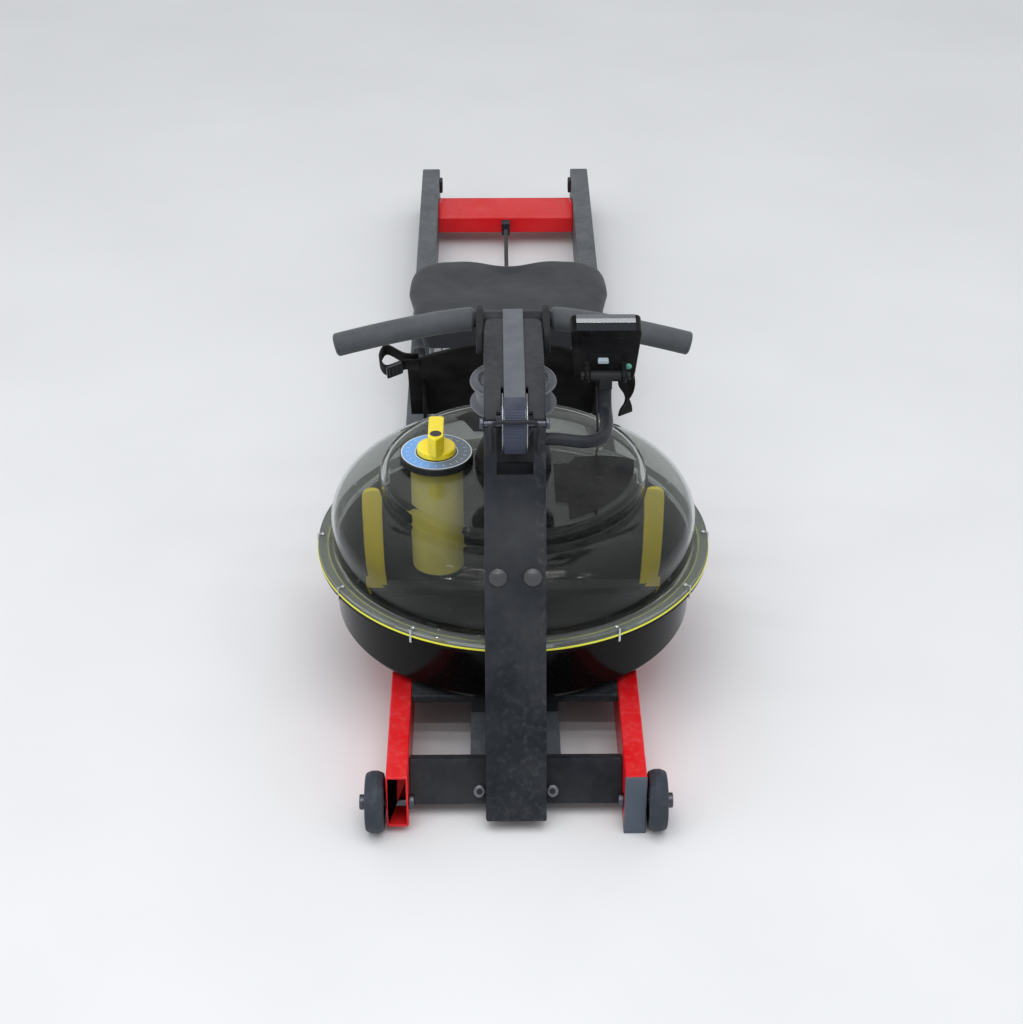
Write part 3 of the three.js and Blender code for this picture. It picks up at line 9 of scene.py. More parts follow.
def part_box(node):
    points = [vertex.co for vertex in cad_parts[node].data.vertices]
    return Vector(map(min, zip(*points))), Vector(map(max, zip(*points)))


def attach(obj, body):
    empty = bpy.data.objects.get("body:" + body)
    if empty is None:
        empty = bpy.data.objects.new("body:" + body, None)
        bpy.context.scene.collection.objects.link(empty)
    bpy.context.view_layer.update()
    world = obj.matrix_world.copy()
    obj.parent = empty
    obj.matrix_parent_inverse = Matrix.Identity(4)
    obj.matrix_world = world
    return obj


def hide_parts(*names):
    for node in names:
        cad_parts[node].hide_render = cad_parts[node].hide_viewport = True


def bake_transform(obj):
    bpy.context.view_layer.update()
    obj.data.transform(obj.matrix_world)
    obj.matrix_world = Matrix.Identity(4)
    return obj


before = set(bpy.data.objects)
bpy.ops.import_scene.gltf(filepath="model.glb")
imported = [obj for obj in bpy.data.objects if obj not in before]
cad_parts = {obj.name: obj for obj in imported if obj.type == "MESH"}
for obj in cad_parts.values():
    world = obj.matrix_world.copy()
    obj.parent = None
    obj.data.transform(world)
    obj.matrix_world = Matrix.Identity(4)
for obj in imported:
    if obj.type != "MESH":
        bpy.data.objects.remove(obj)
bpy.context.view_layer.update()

bl_info = {
    "name": "Water rowing machine",
    "version": (1, 0, 0),
    "blender": (4, 5, 0),
    "location": "3D View > Sidebar > Rower",
    "description": "Builds the visible pieces and finishes of a water rowing machine",
    "category": "Object",
}

MM = 0.001
AXIS_Y = -0.585  # the tank's upright axis, measured along the machine
TURN = 2 * math.pi
QUARTER = math.pi / 2
LEAN = math.radians(24.6)  # the mast leans back by this
CROSS_FOOT = (-360.547, 19.0)  # foot of the front cross member, behind the mast
SIDES = ((-1, "left"), (1, "right"))
FORWARD = Matrix.Rotation(QUARTER, 4, "X")  # turns what is drawn along +Z towards the front end
WAVE_BAND = 0.31416  # length of one band of a wave texture at scale 1

# How round each kind of edge is, as a share of the size called edge
EDGE_MAST, EDGE_RAIL, EDGE_CASE, EDGE_SOFT, EDGE_PLATE = 1.3, 1.2, 1.1, 0.9, 0.7
EDGE_FOOT, EDGE_SMALL, EDGE_THIN, EDGE_FINE = 0.6, 0.5, 0.4, 0.3


# Sizes and colours that a user would change

class RowerSizes(bpy.types.PropertyGroup):
    edge: FloatProperty(
        name="Edges", description="Rounding of the edges, of which every kind takes its own share",
        default=0.002, min=0.0002, max=0.004, unit="LENGTH",
    )
    round_steps: IntProperty(
        name="Round steps", description="Steps around the tank's shells", default=144, min=48, max=256,
    )
    lip_bolts: IntProperty(
        name="Lip clips", description="Screwed clips around the tank's lip", default=12, min=3, max=24,
    )
    dial_ticks: IntProperty(
        name="Dial marks", description="Marks around the resistance dial", default=24, min=6, max=60,
    )
    belt_ribs: IntProperty(
        name="Belt ribs", description="Cross ribs on the belt where it lies on the pulley",
        default=46, min=4, max=90,
    )


class RowerColours(bpy.types.PropertyGroup):
    red: FloatVectorProperty(
        name="Red paint", description="Base tubes and rear crossbar",
        default=(0.86, 0.0, 0.055), size=3, min=0, max=1, subtype="COLOR_GAMMA",
    )
    slate: FloatVectorProperty(
        name="Slate paint", description="Rails and beam",
        default=(0.28, 0.305, 0.33), size=3, min=0, max=1, subtype="COLOR_GAMMA",
    )
    black: FloatVectorProperty(
        name="Black paint", description="Mast, cross members and arms",
        default=(0.11, 0.125, 0.15), size=3, min=0, max=1, subtype="COLOR_GAMMA",
    )
    foam: FloatVectorProperty(
        name="Grip foam", description="Foam grips of the handle",
        default=(0.265, 0.28, 0.30), size=3, min=0, max=1, subtype="COLOR_GAMMA",
    )
    seat: FloatVectorProperty(
        name="Seat", description="Moulded seat pad",
        default=(0.145, 0.16, 0.185), size=3, min=0, max=1, subtype="COLOR_GAMMA",
    )
    smoke: FloatVectorProperty(
        name="Smoked dome", description="Tint of the tank's clear dome",
        default=(0.78, 0.795, 0.785), size=3, min=0, max=1, subtype="COLOR_GAMMA",
    )
    yellow: FloatVectorProperty(
        name="Yellow plastic", description="Selector knob, valve and paddles",
        default=(1.0, 0.90, 0.12), size=3, min=0, max=1, subtype="COLOR_GAMMA",
    )
    webbing: FloatVectorProperty(
        name="Belt", description="Pull belt over the mast",
        default=(0.36, 0.375, 0.41), size=3, min=0, max=1, subtype="COLOR_GAMMA",
    )


# Small helpers for meshes

def at(x, t, z):
    """A point in millimetres from the tank's axis, as metres in the machine's frame."""
    return Vector((x * MM, t * MM + AXIS_Y, z * MM))


def upright(x, t, z):
    return Matrix.Translation(at(x, t, z))


def sideways(x, t, z):
    """Turns what is drawn along +Z to lie across the machine."""
    return upright(x, t, z) @ Matrix.Rotation(QUARTER, 4, "Y")


class Solid:
    """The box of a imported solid, in millimetres from the tank's axis."""

    def __init__(self, node):
        axis = Vector((0, AXIS_Y, 0))
        self.low, self.high = ((corner - axis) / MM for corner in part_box(node))
        self.size = self.high - self.low
        self.middle = (self.low + self.high) / 2


def new_object(name, mesh):
    piece = bpy.data.objects.new(name, mesh)
    bpy.context.scene.collection.objects.link(piece)
    return piece


def lerp(a, b, share):
    return a + (b - a) * share


def smoothstep(low, high, value):
    share = min(max((value - low) / (high - low), 0), 1)
    return share * share * (3 - 2 * share)


def rounded(corners, steps=5):
    """A closed outline whose corners (x, y, radius) are turned into arcs."""
    points = []
    count = len(corners)
    for i, corner in enumerate(corners):
        here = Vector(corner[:2])
        radius = corner[2] if len(corner) > 2 else 0
        before = Vector(corners[i - 1][:2]) - here
        after = Vector(corners[(i + 1) % count][:2]) - here
        if radius <= 0 or before.length < 1e-9 or after.length < 1e-9:
            points.append(here)
            continue
        angle = before.angle(after)
        if angle > math.pi - 0.01:
            points.append(here)
            continue
        reach = min(radius / math.tan(angle / 2), before.length * 0.49, after.length * 0.49)
        radius = reach * math.tan(angle / 2)
        middle = (before.normalized() + after.normalized()).normalized()
        centre = here + middle * (radius / math.sin(angle / 2))
        start = here + before.normalized() * reach - centre
        end = here + after.normalized() * reach - centre
        sweep = start.angle_signed(end)
        for k in range(steps + 1):
            points.append(centre + rotated(start, -sweep * k / steps))
    return [(p.x, p.y) for p in points]


def oblong(left, right, low, high, radius, steps):
    """An oblong outline whose corners are all rounded alike."""
    corners = ((left, low), (right, low), (right, high), (left, high))
    return rounded([(x, y, radius) for x, y in corners], steps)


def rotated(vector, angle):
    c, s = math.cos(angle), math.sin(angle)
    return Vector((vector.x * c - vector.y * s, vector.x * s + vector.y * c))


def mirrored(half):
    """A closed outline from its half above zero, which starts at the bore."""
    below = [(radius, -height, *rest) for radius, height, *rest in half if height]
    return below + half[::-1]


def arc_points(cx, cy, rx, ry, start, end, steps):
    angles = [lerp(start, end, i / steps) for i in range(steps + 1)]
    return [(cx + rx * math.cos(angle), cy + ry * math.sin(angle)) for angle in angles]


def loft(name, rings, wrap=False, closed=True, lengths=None):
    """A skin over rings of points. wrap joins the last ring to the first, closed closes each ring."""
    count = len(rings[0])
    around = count if closed else count - 1
    steps = len(rings) if wrap else len(rings) - 1
    points = [tuple(p) for ring in rings for p in ring]
    faces, uvs = [], []
    if lengths is None:
        lengths = [i / max(steps, 1) for i in range(len(rings) + 1)]
    for i in range(steps):
        a, b = i * count, ((i + 1) % len(rings)) * count
        for k in range(around):
            n = (k + 1) % count
            faces.append((a + k, a + n, b + n, b + k))
            u, v = k / around, (k + 1) / around
            l0, l1 = lengths[i], lengths[i + 1]
            uvs += [(u, l0), (v, l0), (v, l1), (u, l1)]
    if not wrap:
        faces.append(tuple(reversed(range(count))))
        uvs += [(0.5, lengths[0])] * count
        first = (len(rings) - 1) * count
        faces.append(tuple(range(first, first + count)))
        uvs += [(0.5, lengths[len(rings) - 1])] * count
    mesh = bpy.data.meshes.new(name)
    mesh.from_pydata(points, [], faces)
    layer = mesh.uv_layers.new(name="UVMap")
    for slot, uv in zip(layer.data, uvs):
        slot.uv = uv
    return new_object(name, welded(mesh))


def welded(mesh, distance=1e-6, dissolve=False):
    work = bmesh.new()
    work.from_mesh(mesh)
    bmesh.ops.remove_doubles(work, verts=work.verts, dist=distance)
    if dissolve:
        bmesh.ops.dissolve_limit(
            work, angle_limit=math.radians(0.25), verts=work.verts, edges=work.edges,
        )
    bmesh.ops.dissolve_degenerate(work, edges=work.edges, dist=1e-7)
    bmesh.ops.recalc_face_normals(work, faces=work.faces)
    work.to_mesh(mesh)
    work.free()
    return mesh


def lathe(name, profile, place, steps=96, closed=True):
    """Turns an outline of (radius, height) in millimetres about the Z axis of the matrix called place."""
    rings = []
    for i in range(steps):
        angle = TURN * i / steps
        c, s = math.cos(angle), math.sin(angle)
        rings.append([place @ Vector((r * c * MM, r * s * MM, h * MM)) for r, h in profile])
    return loft(name, rings, wrap=True, closed=closed)


def smooth_line(points, steps):
    """Evenly spaced points on a smooth line through the given ones."""
    points = [Vector(p) for p in points]
    padded = [points[0] * 2 - points[1], *points, points[-1] * 2 - points[-2]]
    dense = []
    for i in range(1, len(padded) - 2):
        p0, p1, p2, p3 = padded[i - 1:i + 3]
        k0 = 0
        k1 = k0 + max((p1 - p0).length, 1e-9) ** 0.5
        k2 = k1 + max((p2 - p1).length, 1e-9) ** 0.5
        k3 = k2 + max((p3 - p2).length, 1e-9) ** 0.5
        for j in range(24):
            k = lerp(k1, k2, j / 24)
            a1 = p0 * ((k1 - k) / (k1 - k0)) + p1 * ((k - k0) / (k1 - k0))
            a2 = p1 * ((k2 - k) / (k2 - k1)) + p2 * ((k - k1) / (k2 - k1))
            a3 = p2 * ((k3 - k) / (k3 - k2)) + p3 * ((k - k2) / (k3 - k2))
            b1 = a1 * ((k2 - k) / (k2 - k0)) + a2 * ((k - k0) / (k2 - k0))
            b2 = a2 * ((k3 - k) / (k3 - k1)) + a3 * ((k - k1) / (k3 - k1))
            dense.append(b1 * ((k2 - k) / (k2 - k1)) + b2 * ((k - k1) / (k2 - k1)))
    dense.append(points[-1])
    return evenly(dense, steps)


def inset(outline, amount):
    """A closed outline (anticlockwise) moved inwards by amount."""
    result = []
    count = len(outline)
    for i, point in enumerate(outline):
        here = Vector(point)
        before = (here - Vector(outline[i - 1]))
        after = (Vector(outline[(i + 1) % count]) - here)
        before = before.normalized() if before.length > 1e-9 else after.normalized()
        after = after.normalized() if after.length > 1e-9 else before
        left = Vector((-before.y - after.y, before.x + after.x)).normalized()
        share = max(left.dot(Vector((-before.y, before.x))), 0.4)
        result.append(tuple(here + left * (amount / share)))
    return result


def plate(name, outline, low, high, place, edge=0.0, both=True):
    """An outline in millimetres pulled up from low to high, its top edge (and bottom edge) rounded."""
    def ring(inwards, z):
        shape = inset(outline, inwards) if inwards else outline
        return [place @ (Vector((x, y, z)) * MM) for x, y in shape]

    steps = 4
    turns = [QUARTER * k / steps for k in range(steps + 1)] if edge > 0 else []
    lower = [ring(edge * (1 - math.sin(a)), low + edge * (1 - math.cos(a))) for a in turns if both]
    upper = [ring(edge * (1 - math.cos(a)), high - edge * (1 - math.sin(a))) for a in turns]
    return loft(name, (lower or [ring(0, low)]) + (upper or [ring(0, high)]))


def recoloured(piece, finish, test):
    """Gives a second finish to the faces whose centre, in millimetres from the tank's axis, passes a test."""
    piece.data.materials.append(finish)
    for face in piece.data.polygons:
        x, y, z = face.center
        if test(x / MM, (y - AXIS_Y) / MM, z / MM):
            face.material_index = 1
    return piece


def evenly(points, steps):
    reach = [0.0]
    for a, b in zip(points, points[1:]):
        reach.append(reach[-1] + (b - a).length)
    result, j = [], 0
    for i in range(steps + 1):
        wanted = reach[-1] * i / steps
        while j < len(points) - 2 and reach[j + 1] < wanted:
            j += 1
        span = max(reach[j + 1] - reach[j], 1e-12)
        result.append(points[j].lerp(points[j + 1], min((wanted - reach[j]) / span, 1)))
    return result


def tangents(points):
    last = len(points) - 1
    return [(points[min(i + 1, last)] - points[max(i - 1, 0)]).normalized() for i in range(last + 1)]


def rod_along(name, points, radius, sides=28, round_ends=0.0):
    """A round bar along points, its ends rounded by round_ends (all in metres)."""
    ways = tangents(points)
    side = ways[0].orthogonal().normalized()
    stations = []
    for point, way in zip(points, ways):
        side = (side - way * side.dot(way)).normalized()
        stations.append((point, side.copy(), way.cross(side), way))
    rings, lengths, run = [], [], 0.0
    steps = 6
    ends = []
    if round_ends > 0:
        for k in range(steps + 1):
            angle = QUARTER * k / steps
            ends.append((round_ends * (1 - math.sin(angle)), radius - round_ends * (1 - math.cos(angle))))
    for back, r in reversed(ends):
        point, u, v, way = stations[0]
        rings.append(ring_of(point + way * back, u, v, max(r, radius * 0.02), sides))
    inner = stations[1:-1] if ends else stations
    rings += [ring_of(point, u, v, radius, sides) for point, u, v, _ in inner]
    for back, r in ends:
        point, u, v, way = stations[-1]
        rings.append(ring_of(point - way * back, u, v, max(r, radius * 0.02), sides))
    centre = [sum(ring, Vector()) / len(ring) for ring in rings]
    for a, b in zip([centre[0], *centre], centre):
        run += (b - a).length
        lengths.append(run)
    return loft(name, rings, lengths=lengths)


def ring_of(centre, u, v, radius, sides):
    return [
        centre + u * (radius * math.cos(TURN * k / sides)) + v * (radius * math.sin(TURN * k / sides))
        for k in range(sides)
    ]


def ribbon(name, stations, width, thickness):
    """A flat band through stations (centre, across, through), its edges rounded."""
    w, h = width / 2, thickness / 2
    section = oblong(-w, w, -h, h, 0.4 * h, 2)
    spread = []
    for i, (x, y) in enumerate(section):
        spread.append((x, y))
        nx, ny = section[(i + 1) % len(section)]
        if abs(nx - x) > w:
            spread += [(lerp(x, nx, k / 6), lerp(y, ny, k / 6)) for k in range(1, 6)]
    rings, lengths, run = [], [], 0.0
    last = stations[0][0]
    for centre, across, through in stations:
        rings.append([centre + across * x + through * y for x, y in spread])
        run += (centre - last).length
        lengths.append(run)
        last = centre
    piece = loft(name, rings, lengths=lengths)
    band_uv(piece, stations)
    return piece


def band_uv(piece, stations):
    """Metres across and along the band, so that a weave keeps its scale."""
    centres = [s[0] for s in stations]
    run = [0.0]
    for a, b in zip(centres, centres[1:]):
        run.append(run[-1] + (b - a).length)
    mesh = piece.data
    where = {}
    for vertex in mesh.vertices:
        best = min(range(len(centres)), key=lambda i: (vertex.co - centres[i]).length_squared)
        where[vertex.index] = ((vertex.co - centres[best]).dot(stations[best][1]), run[best])
    layer = mesh.uv_layers["UVMap"].data
    for loop in mesh.loops:
        layer[loop.index].uv = where[loop.vertex_index]


def baked(piece):
    """Turns what the modifiers make into the piece's own plain mesh."""
    graph = bpy.context.evaluated_depsgraph_get()
    graph.update()
    mesh = bpy.data.meshes.new_from_object(
        piece.evaluated_get(graph), preserve_all_data_layers=True, depsgraph=graph,
    )
    piece.modifiers.clear()
    piece.data = mesh
    mesh.name = piece.name
    return piece


def shaded(piece, sharp=32, even=True):
    piece.data.shade_smooth()
    piece.data.set_sharp_from_angle(angle=math.radians(sharp))
    if even:
        weigh = piece.modifiers.new("Even shading", "WEIGHTED_NORMAL")
        weigh.keep_sharp = True
        weigh.weight = 100
        baked(piece)
    return piece


def softened(name, node, width, steps=3, sharp=34, fine=None):
    """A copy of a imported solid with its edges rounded, by a tenth only where the test called fine holds."""
    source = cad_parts[node]
    mesh = source.data.copy()
    mesh.transform(source.matrix_world)
    mesh.materials.clear()
    for layer in list(mesh.uv_layers):
        mesh.uv_layers.remove(layer)
    welded(mesh, 1e-5, dissolve=True)
    work = bmesh.new()
    work.from_mesh(mesh)
    weight = work.edges.layers.float.new("bevel_weight_edge")
    for edge in work.edges:
        if edge.calc_face_angle(0) > math.radians(sharp):
            x, y, z = (edge.verts[0].co + edge.verts[1].co) / 2
            edge[weight] = 0.1 if fine and fine(x / MM, (y - AXIS_Y) / MM, z / MM) else 1.0
    work.to_mesh(mesh)
    work.free()
    piece = new_object(name, mesh)
    bevel = piece.modifiers.new("Soft edges", "BEVEL")
    bevel.width = width
    bevel.segments = steps
    bevel.limit_method = "WEIGHT"
    bevel.use_clamp_overlap = False
    bevel.miter_outer = "MITER_ARC"
    baked(piece)
    return shaded(piece, 40)


def merged(name, pieces):
    """Joins several meshes into one piece."""
    work = bmesh.new()
    for piece in pieces:
        work.from_mesh(piece.data)
    mesh = bpy.data.meshes.new(name)
    work.to_mesh(mesh)
    work.free()
    for piece in pieces:
        bpy.data.objects.remove(piece)
    return new_object(name, mesh)


def finished(piece, finish, body, slot, *nodes):
    """Gives a piece its finish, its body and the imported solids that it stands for."""
    piece.data.materials.clear()
    piece.data.materials.append(finish)
    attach(piece, body)
    if nodes:
        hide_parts(*nodes)
    return piece


def dressed(name, node, finish, slot, share, body="frame", **edges):
    """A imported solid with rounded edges, a share of the size called edge, and its finish."""
    piece = softened(name, node, sizes().edge * share, **edges)
    return finished(piece, finish, body, slot, node)


def turned(name, corners, place, finish, body, slot, *nodes, steps=96, corner=4, closed=True):
    """A piece turned from an outline whose corners are rounded in so many steps, with its finish."""
    piece = shaded(lathe(name, rounded(corners, corner), place, steps, closed))
    return finished(piece, finish, body, slot, *nodes)


def sizes():
    return bpy.context.scene.rower_sizes


def colours():
    return bpy.context.scene.rower_colours


# Geometry Nodes that make what repeats

def tree_with(name, inputs):
    tree = bpy.data.node_groups.new(name, "GeometryNodeTree")
    tree.interface.new_socket("Geometry", in_out="INPUT", socket_type="NodeSocketGeometry")
    for label, kind in inputs:
        tree.interface.new_socket(label, in_out="INPUT", socket_type=kind)
    tree.interface.new_socket("Geometry", in_out="OUTPUT", socket_type="NodeSocketGeometry")
    start = tree.nodes.new("NodeGroupInput")
    end = tree.nodes.new("NodeGroupOutput")
    return tree, start, end


def ended(tree, start, end, geometry):
    real = tree.nodes.new("GeometryNodeRealizeInstances")
    paint = tree.nodes.new("GeometryNodeSetMaterial")
    tree.links.new(geometry, real.inputs["Geometry"])
    tree.links.new(real.outputs["Geometry"], paint.inputs["Geometry"])
    tree.links.new(start.outputs["Finish"], paint.inputs["Material"])
    tree.links.new(paint.outputs["Geometry"], end.inputs["Geometry"])
    return tree


def ring_tree():
    """Copies of one item around a circle, each turned to face outwards."""
    name = "Ring of copies"
    if name in bpy.data.node_groups:
        return bpy.data.node_groups[name]
    tree, start, end = tree_with(name, [
        ("Item", "NodeSocketObject"), ("Count", "NodeSocketInt"), ("Radius", "NodeSocketFloat"),
        ("First turn", "NodeSocketFloat"), ("Finish", "NodeSocketMaterial"),
    ])
    new, link = tree.nodes.new, tree.links.new
    circle = new("GeometryNodeMeshCircle")
    item = new("GeometryNodeObjectInfo")
    copies = new("GeometryNodeInstanceOnPoints")
    place = new("GeometryNodeInputPosition")
    face = new("FunctionNodeAlignRotationToVector")
    face.axis = "X"
    face.pivot_axis = "Z"
    turn = new("GeometryNodeTransform")
    spin = new("ShaderNodeCombineXYZ")
    link(start.outputs["Count"], circle.inputs["Vertices"])
    link(start.outputs["Radius"], circle.inputs["Radius"])
    link(start.outputs["Item"], item.inputs["Object"])
    link(circle.outputs["Mesh"], copies.inputs["Points"])
    link(item.outputs["Geometry"], copies.inputs["Instance"])
    link(place.outputs["Position"], face.inputs["Vector"])
    link(face.outputs["Rotation"], copies.inputs["Rotation"])
    link(copies.outputs["Instances"], turn.inputs["Geometry"])
    link(start.outputs["First turn"], spin.inputs["Z"])
    link(spin.outputs["Vector"], turn.inputs["Rotation"])
    return ended(tree, start, end, turn.outputs["Geometry"])


def path_tree():
    """Copies of one item along a flat path across the machine's width."""
    name = "Copies along a path"
    if name in bpy.data.node_groups:
        return bpy.data.node_groups[name]
    tree, start, end = tree_with(name, [
        ("Item", "NodeSocketObject"), ("Path", "NodeSocketObject"), ("Count", "NodeSocketInt"),
        ("Finish", "NodeSocketMaterial"),
    ])
    new, link = tree.nodes.new, tree.links.new
    item = new("GeometryNodeObjectInfo")
    path = new("GeometryNodeObjectInfo")
    marks = new("GeometryNodeCurveToPoints")
    marks.mode = "COUNT"
    face = new("FunctionNodeAlignRotationToVector")
    face.axis = "Z"
    face.pivot_axis = "X"
    copies = new("GeometryNodeInstanceOnPoints")
    link(start.outputs["Item"], item.inputs["Object"])
    link(start.outputs["Path"], path.inputs["Object"])
    link(start.outputs["Count"], marks.inputs["Count"])
    link(path.outputs["Geometry"], marks.inputs["Curve"])
    link(marks.outputs["Points"], copies.inputs["Points"])
    link(marks.outputs["Tangent"], face.inputs["Vector"])
    link(face.outputs["Rotation"], copies.inputs["Rotation"])
    link(item.outputs["Geometry"], copies.inputs["Instance"])
    return ended(tree, start, end, copies.outputs["Instances"])


def repeated(name, tree, place=None, **values):
    """Runs a tree on an empty mesh and keeps its result as a plain mesh."""
    piece = new_object(name, bpy.data.meshes.new(name))
    modifier = piece.modifiers.new("Copies", "NODES")
    modifier.node_group = tree
    named = {s.name: s.identifier for s in tree.interface.items_tree if s.in_out == "INPUT"}
    for label, value in values.items():
        modifier[named[label.replace("_", " ")]] = value
    piece.update_tag()
    baked(piece)
    if not piece.data.vertices:
        raise RuntimeError(f"{name}: the tree made nothing")
    if place is not None:
        piece.data.transform(place)
    for value in values.values():
        if isinstance(value, bpy.types.Object):
            bpy.data.objects.remove(value)
    return piece


# Finishes, all made of nodes

def srgb(r, g, b):
    def linear(c):
        return c / 12.92 if c <= 0.04045 else ((c + 0.055) / 1.055) ** 2.4
    return (linear(r), linear(g), linear(b), 1.0)


def rgb(r, g, b):
    return srgb(r / 255, g / 255, b / 255)


class Finish:
    """A material and short ways to add and join its nodes."""

    def __init__(self, name):
        self.material = bpy.data.materials.new(name)
        self.material.use_nodes = True
        self.tree = self.material.node_tree
        self.shader = self.tree.nodes["Principled BSDF"]
        self.output = self.tree.nodes["Material Output"]
        self.place = self.node("ShaderNodeTexCoord").outputs["Object"]
        self.height = None

    def node(self, kind, inputs=None, **settings):
        made = self.tree.nodes.new(kind)
        for key, value in settings.items():
            setattr(made, key, value)
        for key, value in (inputs or {}).items():
            if isinstance(value, bpy.types.NodeSocket):
                self.tree.links.new(value, made.inputs[key])
            else:
                made.inputs[key].default_value = value
        return made

    def facing_up(self):
        """How far the surface faces up, from -1 to 1."""
        normal = self.node("ShaderNodeNewGeometry").outputs["Normal"]
        return self.node("ShaderNodeSeparateXYZ", {0: normal}).outputs["Z"]

    def around(self, centre):
        """Level distances x and y from an upright axis through centre, and the distance itself."""
        local = self.node("ShaderNodeVectorMath", {0: self.place, 1: centre}, operation="SUBTRACT").outputs[0]
        split = self.node("ShaderNodeSeparateXYZ", {0: local})
        x, y = split.outputs["X"], split.outputs["Y"]
        squares = self.maths("ADD", self.maths("MULTIPLY", x, x), self.maths("MULTIPLY", y, y))
        return x, y, self.maths("SQRT", squares)

    def cells(self, scale, feature="F1"):
        return self.node(
            "ShaderNodeTexVoronoi", {"Vector": self.place, "Scale": scale}, feature=feature,
        ).outputs["Distance"]

    def noise(self, scale, detail=3.0, roughness=0.5, place=None):
        return self.node("ShaderNodeTexNoise", {
            "Vector": place or self.place, "Scale": scale, "Detail": detail, "Roughness": roughness,
        }).outputs["Fac"]

    def span(self, value, low, high, to_low=0.0, to_high=1.0):
        return self.node("ShaderNodeMapRange", {
            "Value": value, "From Min": low, "From Max": high, "To Min": to_low, "To Max": to_high,
        }).outputs["Result"]

    def maths(self, operation, a, b=0.0):
        return self.node("ShaderNodeMath", {0: a, 1: b}, operation=operation).outputs[0]

    def mix(self, share, a, b):
        return self.node("ShaderNodeMix", {0: share, 6: a, 7: b}, data_type="RGBA").outputs[2]

    def stretched(self, x, y, z):
        return self.node("ShaderNodeMapping", {"Vector": self.place, "Scale": (x, y, z)}).outputs["Vector"]

    def colour(self, value):
        self.set("Base Color", value)

    def set(self, name, value):
        socket = self.shader.inputs[name]
        if isinstance(value, bpy.types.NodeSocket):
            self.tree.links.new(value, socket)
        else:
            socket.default_value = value

    def bump(self, height, distance, strength=1.0):
        made = self.node("ShaderNodeBump", {
            "Height": height, "Distance": distance, "Strength": strength,
        })
        if self.height is not None:
            self.tree.links.new(self.height, made.inputs["Normal"])
        self.height = made.outputs["Normal"]
        self.tree.links.new(self.height, self.shader.inputs["Normal"])


def tinted(colour, amount):
    """The colour made lighter (amount above 0) or darker (below 0)."""
    if amount < 0:
        return tuple(c * (1 + amount) for c in colour[:3]) + (1.0,)
    return tuple(c + (1 - c) * amount for c in colour[:3]) + (1.0,)


def kept(make):
    """Makes a finish the first time that its name is asked for, and hands out the same one later."""
    def found(name, *values, **settings):
        known = bpy.data.materials.get(name)
        return make(name, *values, **settings) if known is None else known
    return found


@kept
def paint(
    name, colour, rough=0.42, grain=1400, depth=0.00004, mottle=0.10, wear=0.25, coat=0.0, dust=0.05,
    shine=0.3,
):
    """Sprayed paint: a fine orange-peel surface, faint cloudiness, dust on top and lighter worn edges."""
    f = Finish(name)
    cloud = f.noise(9, 5, 0.6)
    body = f.mix(f.span(cloud, 0.35, 0.7), tinted(colour, -mottle), tinted(colour, mottle * 0.25))
    specks = f.span(f.noise(60, 6, 0.7), 0.45, 0.75, 0, dust)
    settled = f.maths("MULTIPLY", f.span(f.facing_up(), 0.4, 1.0), specks)
    body = f.mix(settled, body, rgb(176, 172, 166))
    sharp = f.node("ShaderNodeNewGeometry").outputs["Pointiness"]
    worn = f.maths("MULTIPLY", f.span(sharp, 0.53, 0.62), f.span(f.noise(120, 3), 0.5, 0.75, 0, wear))
    f.colour(f.mix(worn, body, tinted(colour, 0.35)))
    f.set("Roughness", f.span(f.noise(34, 4), 0.3, 0.7, rough - 0.05, rough + 0.07))
    f.set("Specular IOR Level", shine)
    f.set("Coat Weight", coat)
    f.set("Coat Roughness", 0.12)
    f.bump(f.noise(grain, 2), depth, 0.5)
    return f.material


@kept
def plastic(name, colour, rough=0.5, grain=900, depth=0.00005, mottle=0.08, specular=0.3, dust=0.0):
    """Moulded plastic with a fine spark-eroded grain and faint flow marks."""
    f = Finish(name)
    flow = f.noise(16, 4, 0.55)
    body = f.mix(f.span(flow, 0.3, 0.75), tinted(colour, -mottle), tinted(colour, mottle * 0.3))
    if dust:
        body = f.mix(f.span(f.noise(90, 5, 0.7), 0.55, 0.8, 0, dust), body, rgb(168, 166, 160))
    f.colour(body)
    f.set("Roughness", f.span(f.noise(50, 3), 0.3, 0.7, rough - 0.06, rough + 0.06))
    f.set("Specular IOR Level", specular)
    f.bump(f.cells(grain), depth, 0.4)
    return f.material


@kept
def rubber(name, colour, rough=0.75, streak=0.3):
    """Black rubber with scuffs and grey dust in its pores."""
    f = Finish(name)
    scuff = f.noise(70, 6, 0.7)
    body = f.mix(f.span(scuff, 0.5, 0.8, 0, streak), colour, rgb(120, 124, 130))
    f.colour(body)
    f.set("Roughness", f.span(f.noise(25, 4), 0.3, 0.7, rough - 0.1, rough + 0.08))
    f.set("Specular IOR Level", 0.3)
    f.bump(f.noise(700, 4, 0.6), 0.00008, 0.5)
    return f.material


@kept
def foam(name, colour):
    """Closed-cell foam: small open pores, soft sheen and paler worn patches."""
    f = Finish(name)
    patches = f.noise(24, 5, 0.65)
    body = f.mix(f.span(patches, 0.3, 0.75), tinted(colour, -0.10), tinted(colour, 0.02))
    pores = f.cells(1100.0)
    f.colour(f.mix(f.span(pores, 0.1, 0.45, 0.25, 0), body, tinted(colour, -0.6)))
    f.set("Roughness", f.span(f.noise(90, 3), 0.3, 0.7, 0.72, 0.9))
    f.set("Sheen Weight", 0.18)
    f.set("Sheen Roughness", 0.5)
    f.bump(pores, 0.00018, 0.6)
    f.bump(f.noise(60, 3), 0.0004, 0.15)
    return f.material


